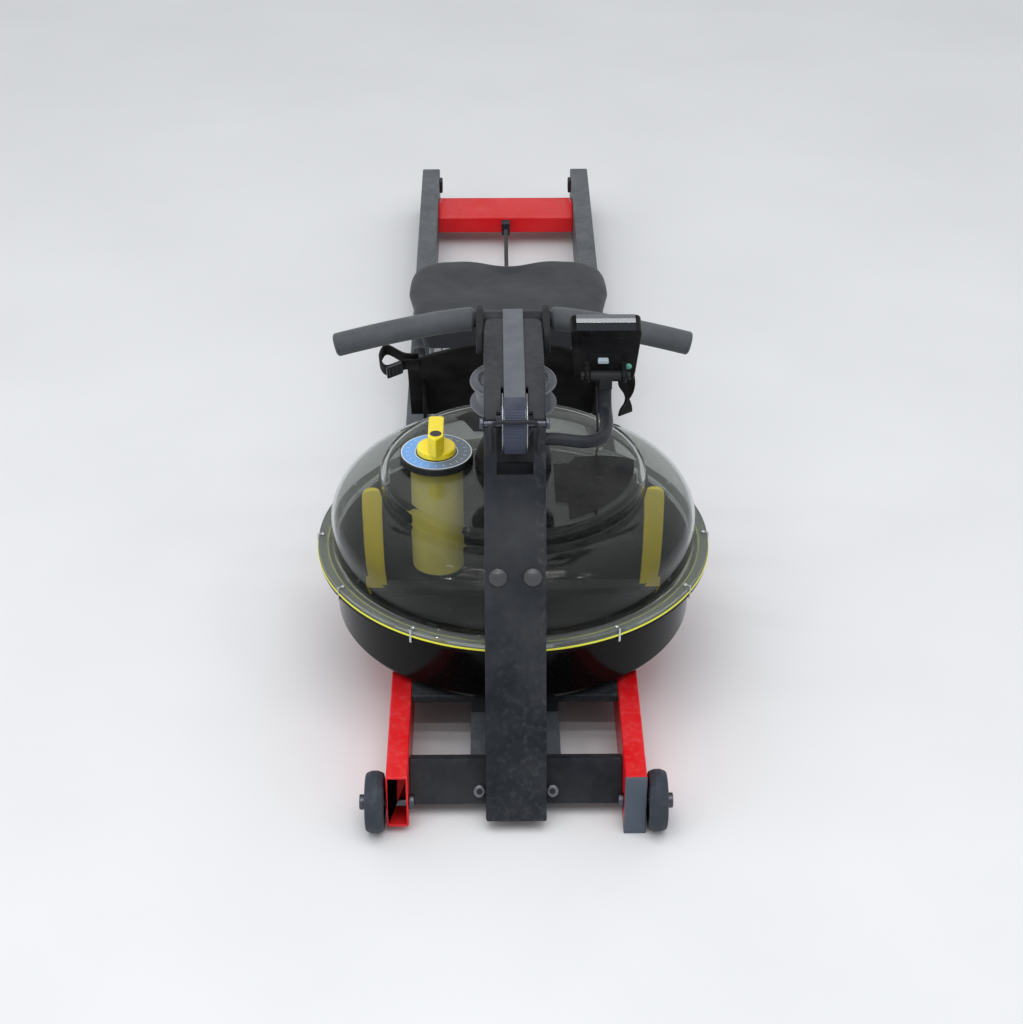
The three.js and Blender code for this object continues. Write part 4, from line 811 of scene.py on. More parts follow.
@kept
def grained(name, colour):
    """The seat's moulded skin: leather-like cells, soft folds and a low satin gloss."""
    f = Finish(name)
    cloud = f.noise(11, 4, 0.55)
    body = f.mix(f.span(cloud, 0.3, 0.75), tinted(colour, -0.07), tinted(colour, 0.012))
    cells = f.cells(520.0, "DISTANCE_TO_EDGE")
    f.colour(f.mix(f.span(cells, 0.0, 0.12, 0.35, 0), body, tinted(colour, -0.5)))
    f.set("Roughness", f.span(f.noise(30, 4), 0.3, 0.7, 0.5, 0.66))
    f.set("Sheen Weight", 0.08)
    f.bump(f.span(cells, 0.0, 0.2), 0.00016, 0.6)
    f.set("Specular IOR Level", 0.35)
    return f.material


@kept
def metal(name, colour=(0.78, 0.79, 0.80), rough=0.28, brushed=True):
    """Zinc-plated or brushed steel with fine scratches."""
    f = Finish(name)
    base = srgb(*colour)
    stain = f.noise(130, 5, 0.65)
    f.colour(f.mix(f.span(stain, 0.45, 0.75), base, tinted(base, -0.3 if brushed else -0.1)))
    f.set("Metallic", 1.0)
    f.set("Roughness", f.span(f.noise(220, 3), 0.3, 0.7, rough - 0.06, rough + 0.12))
    if brushed:
        lines = f.noise(260, 2, 0.5, f.stretched(1, 14, 14))
        f.bump(lines, 0.00003, 0.35)
    return f.material


@kept
def weave(name, colour, dark=-0.35, pitch=0.0011, rough=0.8, sheen=0.12, shine=0.4):
    """Woven webbing, read along and across the band's own UV map."""
    f = Finish(name)
    uv = f.node("ShaderNodeUVMap", uv_map="UVMap").outputs["UV"]
    across, along = (
        f.node("ShaderNodeTexWave", {
            "Vector": uv, "Scale": WAVE_BAND / pitch, "Distortion": 0.0,
        }, bands_direction=way).outputs["Fac"]
        for way in "XY"
    )
    cloth = f.maths("MULTIPLY", across, along)
    cloud = f.span(f.noise(26, 4, 0.6), 0.35, 0.7)
    body = f.mix(cloud, tinted(colour, -0.12), tinted(colour, 0.04))
    f.colour(f.mix(f.span(cloth, 0.05, 0.5, 0.6, 0), body, tinted(colour, dark)))
    f.set("Roughness", f.span(f.noise(80, 3), 0.3, 0.7, rough - 0.06, rough + 0.08))
    f.set("Sheen Weight", sheen)
    f.set("Specular IOR Level", shine)
    f.bump(cloth, 0.00016, 0.7)
    return f.material


@kept
def smoked(name, tint, haze, rough=0.008):
    """Clear smoked plastic, open to the lamps' light, hazy at its outer edge and where dust settles."""
    f = Finish(name)
    smear = f.noise(13, 5, 0.6)
    f.colour(tint)
    f.set("Roughness", f.span(smear, 0.35, 0.75, rough, rough + 0.015))
    f.set("Transmission Weight", 1.0)
    f.set("IOR", 1.28)
    milk = f.node("ShaderNodeBsdfDiffuse", {"Color": haze})
    specks = f.span(f.noise(90, 6, 0.7), 0.4, 0.8, 0.02, 0.08)
    settled = f.maths("MULTIPLY", f.span(f.facing_up(), 0.5, 1.0, 0.25, 1.0), specks)
    radius = f.around(tuple(at(0, 0, 0)))[2]
    settled = f.maths("ADD", settled, f.span(radius, (BODY + 1) * MM, (BODY + 2.5) * MM, 0.0, 0.20))
    body = f.node("ShaderNodeMixShader", {0: settled, 1: f.shader.outputs[0], 2: milk.outputs[0]})
    clear = f.node("ShaderNodeBsdfTransparent", {"Color": tuple(c ** 0.5 for c in tint[:3]) + (1.0,)})
    path = f.node("ShaderNodeLightPath")
    both = f.node("ShaderNodeMixShader", {
        0: path.outputs["Is Shadow Ray"], 1: body.outputs[0], 2: clear.outputs[0],
    })
    f.tree.links.new(both.outputs[0], f.output.inputs["Surface"])
    return f.material


@kept
def seal_rubber(name, centre, dark, bright, inner, outer):
    """The tank's seal: a dull olive ring whose two edges carry a painted yellow-green glow."""
    f = Finish(name)
    radius = f.around(centre)[2]
    # Painted glow along the ring's outer and inner edges.
    outer_edge = f.span(radius, outer - 0.0012, outer - 0.0006)
    inner_edge = f.span(radius, inner + 0.0025, inner + 0.0012)
    edges = f.maths("MAXIMUM", outer_edge, inner_edge)
    f.colour(f.mix(edges, f.mix(f.noise(40, 4), tinted(dark, -0.15), dark), bright))
    f.set("Roughness", f.span(f.noise(60, 3), 0.3, 0.7, 0.28, 0.42))
    f.bump(f.noise(300, 2), 0.00003, 0.3)
    return f.material


@kept
def gloss_black(name, colour):
    """Polished moulded bowl with fine hairline scratches and dust."""
    f = Finish(name)
    dust = f.span(f.noise(140, 6, 0.75), 0.55, 0.85, 0, 0.05)
    f.colour(f.mix(dust, colour, rgb(150, 152, 150)))
    f.set("Roughness", f.span(f.noise(18, 5, 0.6), 0.3, 0.75, 0.10, 0.22))
    f.set("Specular IOR Level", 0.10)
    lines = f.noise(90, 4, 0.7, f.stretched(1, 1, 22))
    f.bump(lines, 0.00003, 0.3)
    return f.material


@kept
def dial_print(name, centre):
    """The dial's face: dark middle and rim, two pale rings, and a band that fades from grey to blue."""
    f = Finish(name)
    x, y, radius = f.around(centre)
    left = f.span(f.maths("ABSOLUTE", f.maths("ARCTAN2", y, x)), 1.1, 2.0)
    print_colour = f.mix(left, rgb(98, 110, 124), rgb(108, 164, 232))
    for low, high, colour in (
        (0.0, 28.5, rgb(40, 43, 48)), (28.5, 29.8, rgb(205, 212, 220)),
        (47.2, 48.6, rgb(225, 229, 234)), (48.6, 90.0, rgb(26, 28, 32)),
    ):
        beyond = f.maths("GREATER_THAN", radius, low * MM)
        within = f.maths("LESS_THAN", radius, high * MM)
        print_colour = f.mix(f.maths("MULTIPLY", beyond, within), print_colour, colour)
    f.colour(f.mix(f.span(f.noise(60, 5, 0.7), 0.5, 0.8, 0, 0.12), print_colour, rgb(120, 122, 124)))
    f.set("Roughness", f.span(f.noise(45, 3), 0.3, 0.7, 0.32, 0.46))
    f.bump(f.noise(900, 2), 0.00003, 0.4)
    return f.material


def red_paint():
    return paint(
        "red_gloss_paint", srgb(*colours().red), 0.34, grain=800, depth=0.00003, wear=0.35, coat=0.04,
        shine=0.18,
    )


def slate_paint():
    return paint("slate_satin_paint", srgb(*colours().slate), 0.46, grain=1500, mottle=0.12, dust=0.10)


def black_paint():
    return paint(
        "black_powder_paint", srgb(*colours().black), grain=1600, depth=0.00006, mottle=0.12, dust=0.03,
        shine=0.14,
    )


def black_plastic():
    return plastic("black_moulded_plastic", rgb(18, 19, 22), 0.48, specular=0.14)


def grey_plastic():
    return plastic("grey_moulded_plastic", rgb(74, 84, 98), 0.5)


def black_rubber():
    return rubber("black_rubber", rgb(38, 40, 44))


def steel():
    return metal("zinc_steel")


def dark_steel():
    return metal("axle_dark_steel", (0.34, 0.35, 0.38), 0.3)


def yellow_plastic():
    return plastic(
        "yellow_gloss_plastic", srgb(*colours().yellow), 0.26, grain=500, depth=0.00002, mottle=0.06,
        specular=0.5,
    )


# The frame: tubes, rails, cross pieces

def build_base_tubes():
    for _, side in SIDES:
        dressed(f"{side}_tube_painted", f"{side}_base_tube", red_paint(), "red_paint", EDGE_CASE)
    dressed("right_cap_moulded", "right_end_cap", grey_plastic(), "grey_plastic", EDGE_FOOT)


def build_rails():
    for _, side in SIDES:
        dressed(f"{side}_rail_painted", f"{side}_rail", slate_paint(), "slate_paint", EDGE_RAIL)
        dressed(f"{side}_foot_rubber", f"{side}_rear_foot", black_rubber(), "black_rubber", EDGE_FOOT)
        dressed(f"{side}_stop_rubber", f"{side}_rail_stop", black_rubber(), "black_rubber", EDGE_SOFT)


def build_cross_members():
    for node, finish, slot in (
        ("front_cross_member", black_paint(), "black_paint"),
        ("centre_beam", slate_paint(), "slate_paint"),
        ("tank_cross_bar", black_paint(), "black_paint"),
        ("middle_cross_member", black_paint(), "black_paint"),
    ):
        dressed(f"{node}_painted", node, finish, slot, EDGE_PLATE)
    bar = dressed("rear_crossbar_painted", "rear_crossbar", red_paint(), "red_paint", EDGE_PLATE)
    hook_half, hook_reach = 14.0, 21.5
    hook_end = Solid("rear_crossbar").low.y + hook_reach
    recoloured(bar, black_paint(), lambda x, t, z: abs(x) < hook_half and t < hook_end)

    apart, rise, behind = 47.0, 18.0, 4.9  # each screw beside the mast, up the member, in its face
    collar, head, socket, depth, proud = 3.8, 8.15, 3.7, 4.0, 0.9
    member = Matrix.Translation(at(0, *CROSS_FOOT)) @ Matrix.Rotation(-LEAN, 4, "X")
    steel_finish = metal("socket_screw_steel", (0.46, 0.47, 0.5), 0.4)
    for sign, side in SIDES:
        place = member @ Matrix.Translation(Vector((sign * apart, -behind, rise)) * MM) @ FORWARD
        turned(f"{side}_socket_head", [
            (0, -depth), (collar, -depth), (collar, proud, 0.3), (head - 1.95, proud, 0.4),
            (head, proud - 0.8, 0.8), (head, -depth - 1, 0.2), (0, -depth - 1),
        ], place, steel_finish, "frame", "steel", steps=48, corner=3, closed=False)
        # A black plug in each screw's socket paints the shade in its hole.
        turned(f"{side}_socket_dark", [
            (0, 0.1 - depth), (socket, 0.1 - depth), (socket, 0.3), (0, 0.3),
        ], place, black_rubber(), "frame", "black_matte", steps=6, closed=False)


def build_mast():
    slot_half, slot_rear = 30.0, -100.0  # the slot lies inside these, and its edges stay crisp
    dressed(
        "mast_painted", "mast", black_paint(), "black_paint", EDGE_MAST,
        fine=lambda x, t, z: abs(x) < slot_half and t < slot_rear,
    )
    cover = plastic("bolt_cover_grey", rgb(50, 52, 57), 0.3, specular=0.5)
    for _, side in SIDES:
        dressed(
            f"{side}_mast_bolt_round", f"{side}_mast_bolt", cover, "black_paint", EDGE_FINE,
            steps=2, sharp=50,
        )
        dressed(f"{side}_ear_moulded", f"{side}_cradle_ear", black_plastic(), "black_paint", EDGE_MAST)


def build_wheels():
    bore, hub, face, dish, rim, tread, crown = 6.6, 12.0, 1.5, 3.5, 13.0, 9.0, 4.0
    tyre = rubber("wheel_rubber", rgb(48, 53, 62), 0.62, 0.2)
    for _, side in SIDES:
        wheel = Solid(f"{side}_wheel")
        half, radius = wheel.size.x / 2, wheel.size.z / 2
        turned(f"{side}_wheel_tyre", mirrored([
            (bore, half - face, 0.5), (hub, half - face, 1.0), (hub + 2, half - dish, 1.5),
            (radius - rim, half - dish, 2), (radius - tread, half, 2), (radius - 3, half - 1, 4),
            (radius, crown, 7),
        ]), sideways(*wheel.middle), tyre, f"{side}_transport_wheel", "black_rubber", f"{side}_wheel",
            corner=5)
        dressed(
            f"{side}_axle_bolt", f"{side}_wheel_axle", dark_steel(), "steel", EDGE_SMALL, steps=2, sharp=40,
        )


# The water tank: bowl, seal and dome share one lip

BODY = 252.0  # outer radius of the bowl and of the dome's wall
SHELL = 4.0  # thickness of both shells
LIP = Solid("tank_dome").size.x / 2
DECK = Solid("tank_dome").high.z  # level of the dome's flat top
SHAFT_HOLE = 10.6
LIP_TOP = 206.2
CLIP_REACH = 6.0  # the clips' screws stand this far inside the lip's edge


def dome_profile(inset):
    """The dome's section above its wall: a curve in, a step up and the flat deck."""
    shoulder, sag, step, step_at = 188.0, 56.0, 24.0, 182.0
    top = DECK - step
    curve = arc_points(shoulder, top - sag, BODY - inset - shoulder, sag - inset, 0, QUARTER, 20)
    hump = rounded([
        curve[-1], (step_at - inset, top - inset, 5), (step_at - 1 - inset, DECK - inset, 7),
        (150, DECK - inset),
    ], 7)[1:-1]
    return curve + hump


def build_tank():
    steps = sizes().round_steps
    centre = upright(0, 0, 0)
    solid = Solid("tank_bowl")
    foot, top, thick, bend, bend_at, flat = solid.low.z, solid.high.z, 7.0, 26.0, 222.0, 60.0
    outer = arc_points(bend_at, foot + bend, bend, bend, -QUARTER, -QUARTER / 4, 10)
    inner = arc_points(bend_at, foot + bend, bend - SHELL, bend - SHELL, -QUARTER / 4, -QUARTER, 10)
    flange = top - thick
    rim = rounded([
        (BODY - 1, flange - 2), (BODY, flange, 1.5), (LIP, flange, 1.5), (LIP, top, 1.2),
        (BODY - 4, top, 0.8), (BODY - 4.6, flange - 3),
    ], 4)[1:-1]
    bowl = [
        (0, foot), (flat, foot), *outer, (BODY - 1.5, flange - 3), *rim, (BODY - 5.2, flange - 9), *inner,
        (flat, foot + SHELL), (0, foot + SHELL),
    ]
    piece = shaded(lathe("bowl_moulded", bowl, centre, steps, closed=False))
    finished(piece, gloss_black("bowl_gloss_black", rgb(9, 9, 10)), "frame", "black_gloss", "tank_bowl")

    gasket, play = Solid("tank_gasket"), 0.05
    ring = (257.0, gasket.size.x / 2 - 0.1)
    low, high = gasket.low.z + play, gasket.high.z - play
    finish = seal_rubber(
        "seal_olive", tuple(at(0, 0, 0)), rgb(98, 103, 92), rgb(226, 226, 60), ring[0] * MM, ring[1] * MM,
    )
    turned("seal_ring", [
        (ring[0], low, 0.6), (ring[1], low, 0.9), (ring[1], high, 0.9), (ring[0], high, 0.6),
    ], centre, finish, "frame", "seal", "tank_gasket", steps=steps, corner=3)

    low, wall_foot, wall_low, wall_high = Solid("tank_dome").low.z + play, 212.0, 214.0, 226.0
    lip = rounded([
        (BODY - SHELL, low), (LIP, low, 1.2), (LIP, LIP_TOP, 1.6), (BODY + 1.5, LIP_TOP, 2.5),
        (BODY, wall_foot),
    ], 5)[1:-1]
    dome = [
        (SHAFT_HOLE, DECK - SHELL), *reversed(dome_profile(SHELL)), (BODY - SHELL, wall_high - 1),
        (BODY - SHELL, low + play), *lip, (BODY, wall_low), (BODY, wall_high), *dome_profile(0),
        (SHAFT_HOLE, DECK),
    ]
    piece = shaded(lathe("dome_smoked", dome, centre, steps))
    finish = smoked("smoked_clear_plastic", srgb(*colours().smoke), rgb(142, 146, 142))
    finished(piece, finish, "frame", "smoked_clear", "tank_dome")
    build_lip_clips()


def build_lip_clips():
    """A screw head on the lip and a strap over its edge, down past the seal."""
    screw, back, thick, down, half = 3.0, 3.0, 1.1, 18.4, 1.5
    out = CLIP_REACH + 1.9
    head = lathe("clip_head", rounded([
        (0, 0), (screw, 0), (screw, 1.8, 0.6), (screw - 1.4, 2.6, 0.4), (0, 2.6),
    ], 2), Matrix(), 14, closed=False)
    edge = rounded([
        (-back, 0.1), (-back, thick, 0.3), (out, thick, 1.4), (out, -down, 0.4), (out - thick, -down, 0.4),
        (out - thick, 0.1, 0.8),
    ], 3)
    strap = loft("clip_strap", [
        [Vector((x, y, z)) * MM for x, z in edge] for y in (-half, half)
    ])
    bolts = repeated(
        "lip_bolts", ring_tree(), upright(0, 0, LIP_TOP), Item=shaded(merged("clip_item", [head, strap]), 40),
        Count=sizes().lip_bolts, Radius=(LIP - CLIP_REACH) * MM, First_turn=-QUARTER,
        Finish=metal("lip_bolt_steel"),
    )
    finished(bolts, metal("lip_bolt_steel"), "frame", "steel")


def blade_item():
    """One arm of the paddle wheel with its upright blade, drawn along +X."""
    hub, low, high, root_half, tip_half = 22.0, 108.3, 119.8, 13.0, 11.0
    inner, outer, top, half, chamfer = 181.0, 208.0, 277.8, 4.4, 0.8
    arm = rounded([
        (hub, -root_half, 2), (outer - 2, -tip_half, 3), (outer - 2, tip_half, 3), (hub, root_half, 2),
    ], 3)
    flat = loft("arm", [[Vector((x, y, z)) * MM for x, y in arm] for z in (low, high)])
    edge = rounded([(inner, low + 0.2, 2), (outer, low + 0.2, 2), (outer, top, 12), (inner, top, 12)], 6)
    middle, halfway = 194.0, 190.0
    sheet = []
    for y, cut in ((-half, chamfer), (0.6 - half, 0.0), (half - 0.6, 0.0), (half, chamfer)):
        sheet.append([
            Vector((x + (cut if x < middle else -cut), y, z + (cut if z < halfway else -cut))) * MM
            for x, z in edge
        ])
    return shaded(merged("blade_item", [flat, loft("blade", sheet)]), 40)


def build_paddle_wheel():
    bore, hub, low, high = 10.4, 24.0, 108.0, 152.0
    wheel = repeated(
        "paddle_wheel", ring_tree(), upright(0, 0, 0), Item=blade_item(), Count=4, Radius=0.0001,
        First_turn=0.0, Finish=yellow_plastic(),
    )
    boss = shaded(lathe("paddle_hub", rounded([
        (bore, low, 0.5), (hub, low, 1.5), (hub, high, 2), (bore, high, 0.5),
    ], 4), upright(0, 0, 0)))
    whole = merged("paddle_wheel_moulded", [wheel, boss])
    yellow = plastic("paddle_plastic", rgb(240, 214, 40), 0.4)
    finished(whole, yellow, "paddle", "yellow_plastic", "impeller")
    arm_end = 178.0
    black = plastic("arm_black_plastic", rgb(16, 16, 17), 0.5)
    recoloured(whole, black, lambda x, t, z: math.hypot(x, t) < arm_end and z < high + 1)

    shaft = Solid("drive_shaft")
    radius, low, high = shaft.size.x / 2, shaft.low.z + 0.1, shaft.high.z
    turned("shaft_turned", [
        (0, low), (radius - 0.6, low, 0.8), (radius, low + 1.5, 0.5), (radius, high - 2, 0.6),
        (radius - 1, high, 0.6), (0, high),
    ], upright(0, 0, 0), steel(), "paddle", "steel", "drive_shaft", corner=3, closed=False)


def build_drive():
    centre = upright(0, 0, 0)
    play = 0.2
    tower = Solid("bearing_tower")
    bore, foot, neck, collar = 10.7, tower.size.x / 2, 40.0, 22.0
    low, top = tower.low.z + 0.1, tower.high.z - 4
    turned("tower_moulded", [
        (bore, low, 0.4), (foot, low, 1), (foot, low + 8.3, 2.5), (foot - 2, low + 19.3, 6),
        (neck + 0.5, low + 39.3, 10), (neck, top, 1.5), (collar, top, 1), (collar, top + 4, 0.5),
        (bore, top + 4, 0.4),
    ], centre, black_plastic(), "frame", "black_matte", "bearing_tower", corner=5)

    drum = Solid("drive_drum")
    flange, tread, low = drum.size.x / 2, 50.0, drum.low.z + play
    web, top = low + 38.9, low + 40.9
    for name, inner, outer, under, over in (
        ("drum_rim", 55.4, 57.4, 448.9, 449.5), ("drum_ring", 44.6, 47.4, 450.0, 451.7),
    ):
        turned(f"{name}_metal", [
            (inner, under), (outer, under), (outer, over, 0.25), (inner, over, 0.25),
        ], centre, metal("drum_ring_steel", (0.62, 0.63, 0.65), 0.3), "drum", "steel", corner=3)
    turned("drum_moulded", [
        (10.4, low, 0.3), (collar, low, 0.5), (collar, low + 3.5, 0.5), (flange, low + 3.5, 1.2),
        (flange, low + 6.5, 0.8), (tread, low + 6.9, 1), (tread, low + 35.1, 1), (flange, low + 35.5, 0.8),
        (flange, low + 38.5, 1.2), (tread, low + 38.5, 0.6), (tread, top, 0.8), (tread - 4, top, 0.8),
        (tread - 5, web, 0.6), (collar + 2, web, 0.8), (collar, top, 0.6), (10.4, top, 0.3),
    ], centre, plastic("drum_grey_plastic", rgb(104, 108, 116), 0.42), "drum", "black_matte", "drive_drum")


# Guide pulley, belt and keeper

PULLEY = Solid("guide_pulley")
PULLEY_T, PULLEY_Z = PULLEY.middle.y, PULLEY.middle.z
PULLEY_R = 35.0  # radius that the belt lies on
DRUM_R = 50.0
BELT_GAP, BELT_THICK = 0.3, 2.2
BELT_WIDE = Solid("belt_top_run").size.x
BELT_Z = Solid("belt_top_run").high.z - BELT_THICK / 2
SIDEWAYS = Vector((1, 0, 0))
BAR_T, BAR_Z, BAR_STRAIGHT, BAR_HALF = 70.0, 504.3, 58.0, 236.0  # the handle's bar, straight in its middle
BAR_SWEEP, BAR_DROP = 15.0, 30.0  # how far its ends go forwards and down


def build_pulley():
    bore, half, flange = 5.4, PULLEY.size.x / 2, PULLEY.size.z / 2 - 0.1
    turned("pulley_turned", mirrored([
        (bore, half, 0.4), (flange, half, 0.5), (flange, half - 1.5, 0.5), (PULLEY_R, half - 1.8, 0.6),
    ]), sideways(*PULLEY.middle), metal("pulley_metal", (0.6, 0.61, 0.63), 0.3), "pulley", "black_matte",
        "guide_pulley", corner=3)
    dressed("pulley_axle_bolt", "pulley_axle", dark_steel(), "steel", EDGE_THIN, steps=2, sharp=45)


def build_keeper():
    """A bent wire in front of the pulley that keeps the belt on it."""
    solid, wire, corner, half, inner_half = Solid("belt_keeper"), 2.5, 5.0, 29.0, 24.0
    front, foot = solid.low.y + wire, solid.high.y - wire
    bottom, top = solid.low.z + wire, solid.high.z - wire
    points = []
    for sign, _ in SIDES:
        x = sign * half
        side = [at(x, foot, bottom), at(x, lerp(foot, front, 0.5), lerp(bottom, top, 0.5))]
        side += [at(x, front, top - corner), at(sign * inner_half, front, top)]
        points += side if sign < 0 else [at(0, front, top), *reversed(side)]
    piece = shaded(rod_along("keeper_wire", smooth_line(points, 90), wire * MM, 20), 50, even=False)
    finished(piece, black_paint(), "frame", "black_paint", "belt_keeper")


def lower_run_stations():
    """Round the front of the pulley, then down to the drum with a quarter twist."""
    wrap = PULLEY_R + BELT_GAP + BELT_THICK / 2
    leave, drum_level, steps = 22.0, 431.5, 40
    stations = []
    for i in range(steps + 1):
        angle = QUARTER + math.pi * i / steps
        out = Vector((0, math.cos(angle), math.sin(angle)))
        stations.append((at(0, PULLEY_T + wrap * out.y, PULLEY_Z + wrap * out.z), SIDEWAYS, out))
    start = Vector((0, PULLEY_T + leave, PULLEY_Z - wrap))
    for k in range(1, 4):
        stations.append((at(0, PULLEY_T + leave * k / 3, start.z), SIDEWAYS, Vector((0, 0, -1))))
    side = DRUM_R + BELT_GAP + BELT_THICK / 2
    meets = math.acos(side / -start.y)
    end = Vector((side * math.sin(meets), -side * math.cos(meets), drum_level))
    ahead = Vector((end.x - start.x, end.y - start.y, 0)).normalized()
    for i in range(1, steps + 1):
        twist = smoothstep(0.05, 0.8, i / steps)
        centre = start.lerp(end, i / steps)
        centre.z = lerp(start.z, end.z, twist)
        across = Vector((math.cos(QUARTER * twist), 0, math.sin(QUARTER * twist)))
        stations.append((at(*centre), across, ahead.cross(across).normalized()))
    return stations


def build_belt():
    thick = BELT_THICK * MM * 0.95
    webbing = weave("belt_webbing", srgb(*colours().webbing))
    loop, wound = 12.4, 1.72  # radius of the loop round the handle's bar, and its half turns
    stations = []
    for i in range(61):
        t = lerp(PULLEY_T + BELT_GAP, BAR_T, i / 60)
        stations.append((at(0, t, BELT_Z), SIDEWAYS, Vector((0, 0, 1))))
    for i in range(1, 33):
        angle = QUARTER - math.pi * wound * i / 32
        out = Vector((0, math.cos(angle), math.sin(angle)))
        stations.append((at(0, BAR_T + loop * out.y, BAR_Z + loop * out.z), SIDEWAYS, out))
    top = shaded(ribbon("belt_over_mast", stations, BELT_WIDE * MM, thick), 60, even=False)
    top.data.materials.append(webbing)
    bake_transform(top)
    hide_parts("belt_top_run")

    # The run to the drum is the same belt as the top run; its darker, bluer colour is painted shade with a
    # painted blue reflection, where it turns down from the light.
    dark = weave("belt_dark_webbing", rgb(58, 64, 82), dark=-0.5)
    lower = shaded(ribbon("belt_to_drum", lower_run_stations(), BELT_WIDE * MM, thick), 60, even=False)
    finished(lower, dark, "frame", "webbing", "belt_lower_run")

    wrap, first, last = PULLEY_R + BELT_GAP + BELT_THICK, 128, 262
    line = bpy.data.curves.new("rib_path", "CURVE")
    line.dimensions = "3D"
    spline = line.splines.new("POLY")
    spline.points.add(60)
    for i, slot in enumerate(spline.points):
        angle = math.radians(lerp(first, last, i / 60))
        slot.co = (*at(0, PULLEY_T + wrap * math.cos(angle), PULLEY_Z + wrap * math.sin(angle)), 1)
    long, wide, high = BELT_WIDE / 2 - 0.9, 0.55, 0.5
    section = rounded([(-wide, -high, 0.2), (wide, -high, 0.2), (wide, high, 0.3), (-wide, high, 0.3)], 2)
    item = loft("rib_item", [[Vector((x, b, a)) * MM for a, b in section] for x in (-long, long)])
    # The ribs are finished in a darker, bluer colour too: painted shade with a painted blue reflection.
    ribs = repeated(
        "belt_ribs", path_tree(), None, Item=shaded(item, 40), Path=new_object("rib_path", line),
        Count=sizes().belt_ribs, Finish=dark,
    )
    finished(ribs, plastic("belt_rib_navy", rgb(62, 68, 88), 0.55), "frame", "webbing")


# Handle

def handle_line(x):
    beyond = max(abs(x) - BAR_STRAIGHT, 0) / (BAR_HALF - BAR_STRAIGHT)
    return at(x, BAR_T - BAR_SWEEP * beyond, BAR_Z - BAR_DROP * beyond ** 1.4)


def build_handle():
    bar_radius, grip_radius, grip_from, grip_to = 11.0, 15.9, 52.2, 240.2
    points = [handle_line(lerp(-BAR_HALF, BAR_HALF, i / 96)) for i in range(97)]
    bar = rod_along("bar_painted", points, bar_radius * MM, 32, 1 * MM)
    finished(shaded(bar, 50, even=False), black_paint(), "handle", "black_paint", "handle_bar")
    for sign, side in SIDES:
        points = [handle_line(sign * lerp(grip_from, grip_to, i / 60)) for i in range(61)]
        grip = shaded(rod_along(f"{side}_grip_foam", points, grip_radius * MM, 48, 5 * MM), 50, even=False)
        finished(grip, foam("grip_foam", srgb(*colours().foam)), "handle", "foam_grip", f"{side}_grip")


# Resistance selector

DIAL = Solid("selector_dial")
DIAL_X, DIAL_T = DIAL.middle.x, DIAL.middle.y


def build_deck_panels():
    """Bare black panels where the machine carries its labels."""
    reach, first, last = 165.0, -58, 2
    arc = [math.radians(lerp(first, last, i / 16)) for i in range(17)]
    right = [(55, -102), (72, -104), (72, -147, 2), (84, -141)]
    right += [(reach * math.cos(a), reach * math.sin(a)) for a in arc]
    right += [(150, 14, 3), (126, 18, 8), (86, 16, 4), (76, -2, 3), (55, -4)]
    left = [(-80, 127, 1), (-68, 117, 1), (-54, 87, 1), (-30, 87), (-30, 152), (-62, 144, 1)]
    finish = plastic("deck_panel_black", rgb(8, 8, 11), 0.36, grain=700, specular=0.1, dust=0.06)
    low, thick = DECK + 0.02, 0.3
    for name, shape in (("right", right), ("left", left[::-1])):
        shape = rounded(shape, 3)
        area = sum(a[0] * b[1] - b[0] * a[1] for a, b in zip(shape, shape[1:] + shape[:1]))
        shape = shape if area > 0 else shape[::-1]
        panel = plate(f"{name}_deck_panel", shape, low, low + thick, upright(0, 0, 0))
        finished(shaded(panel, 40), finish, "frame", "black_matte")


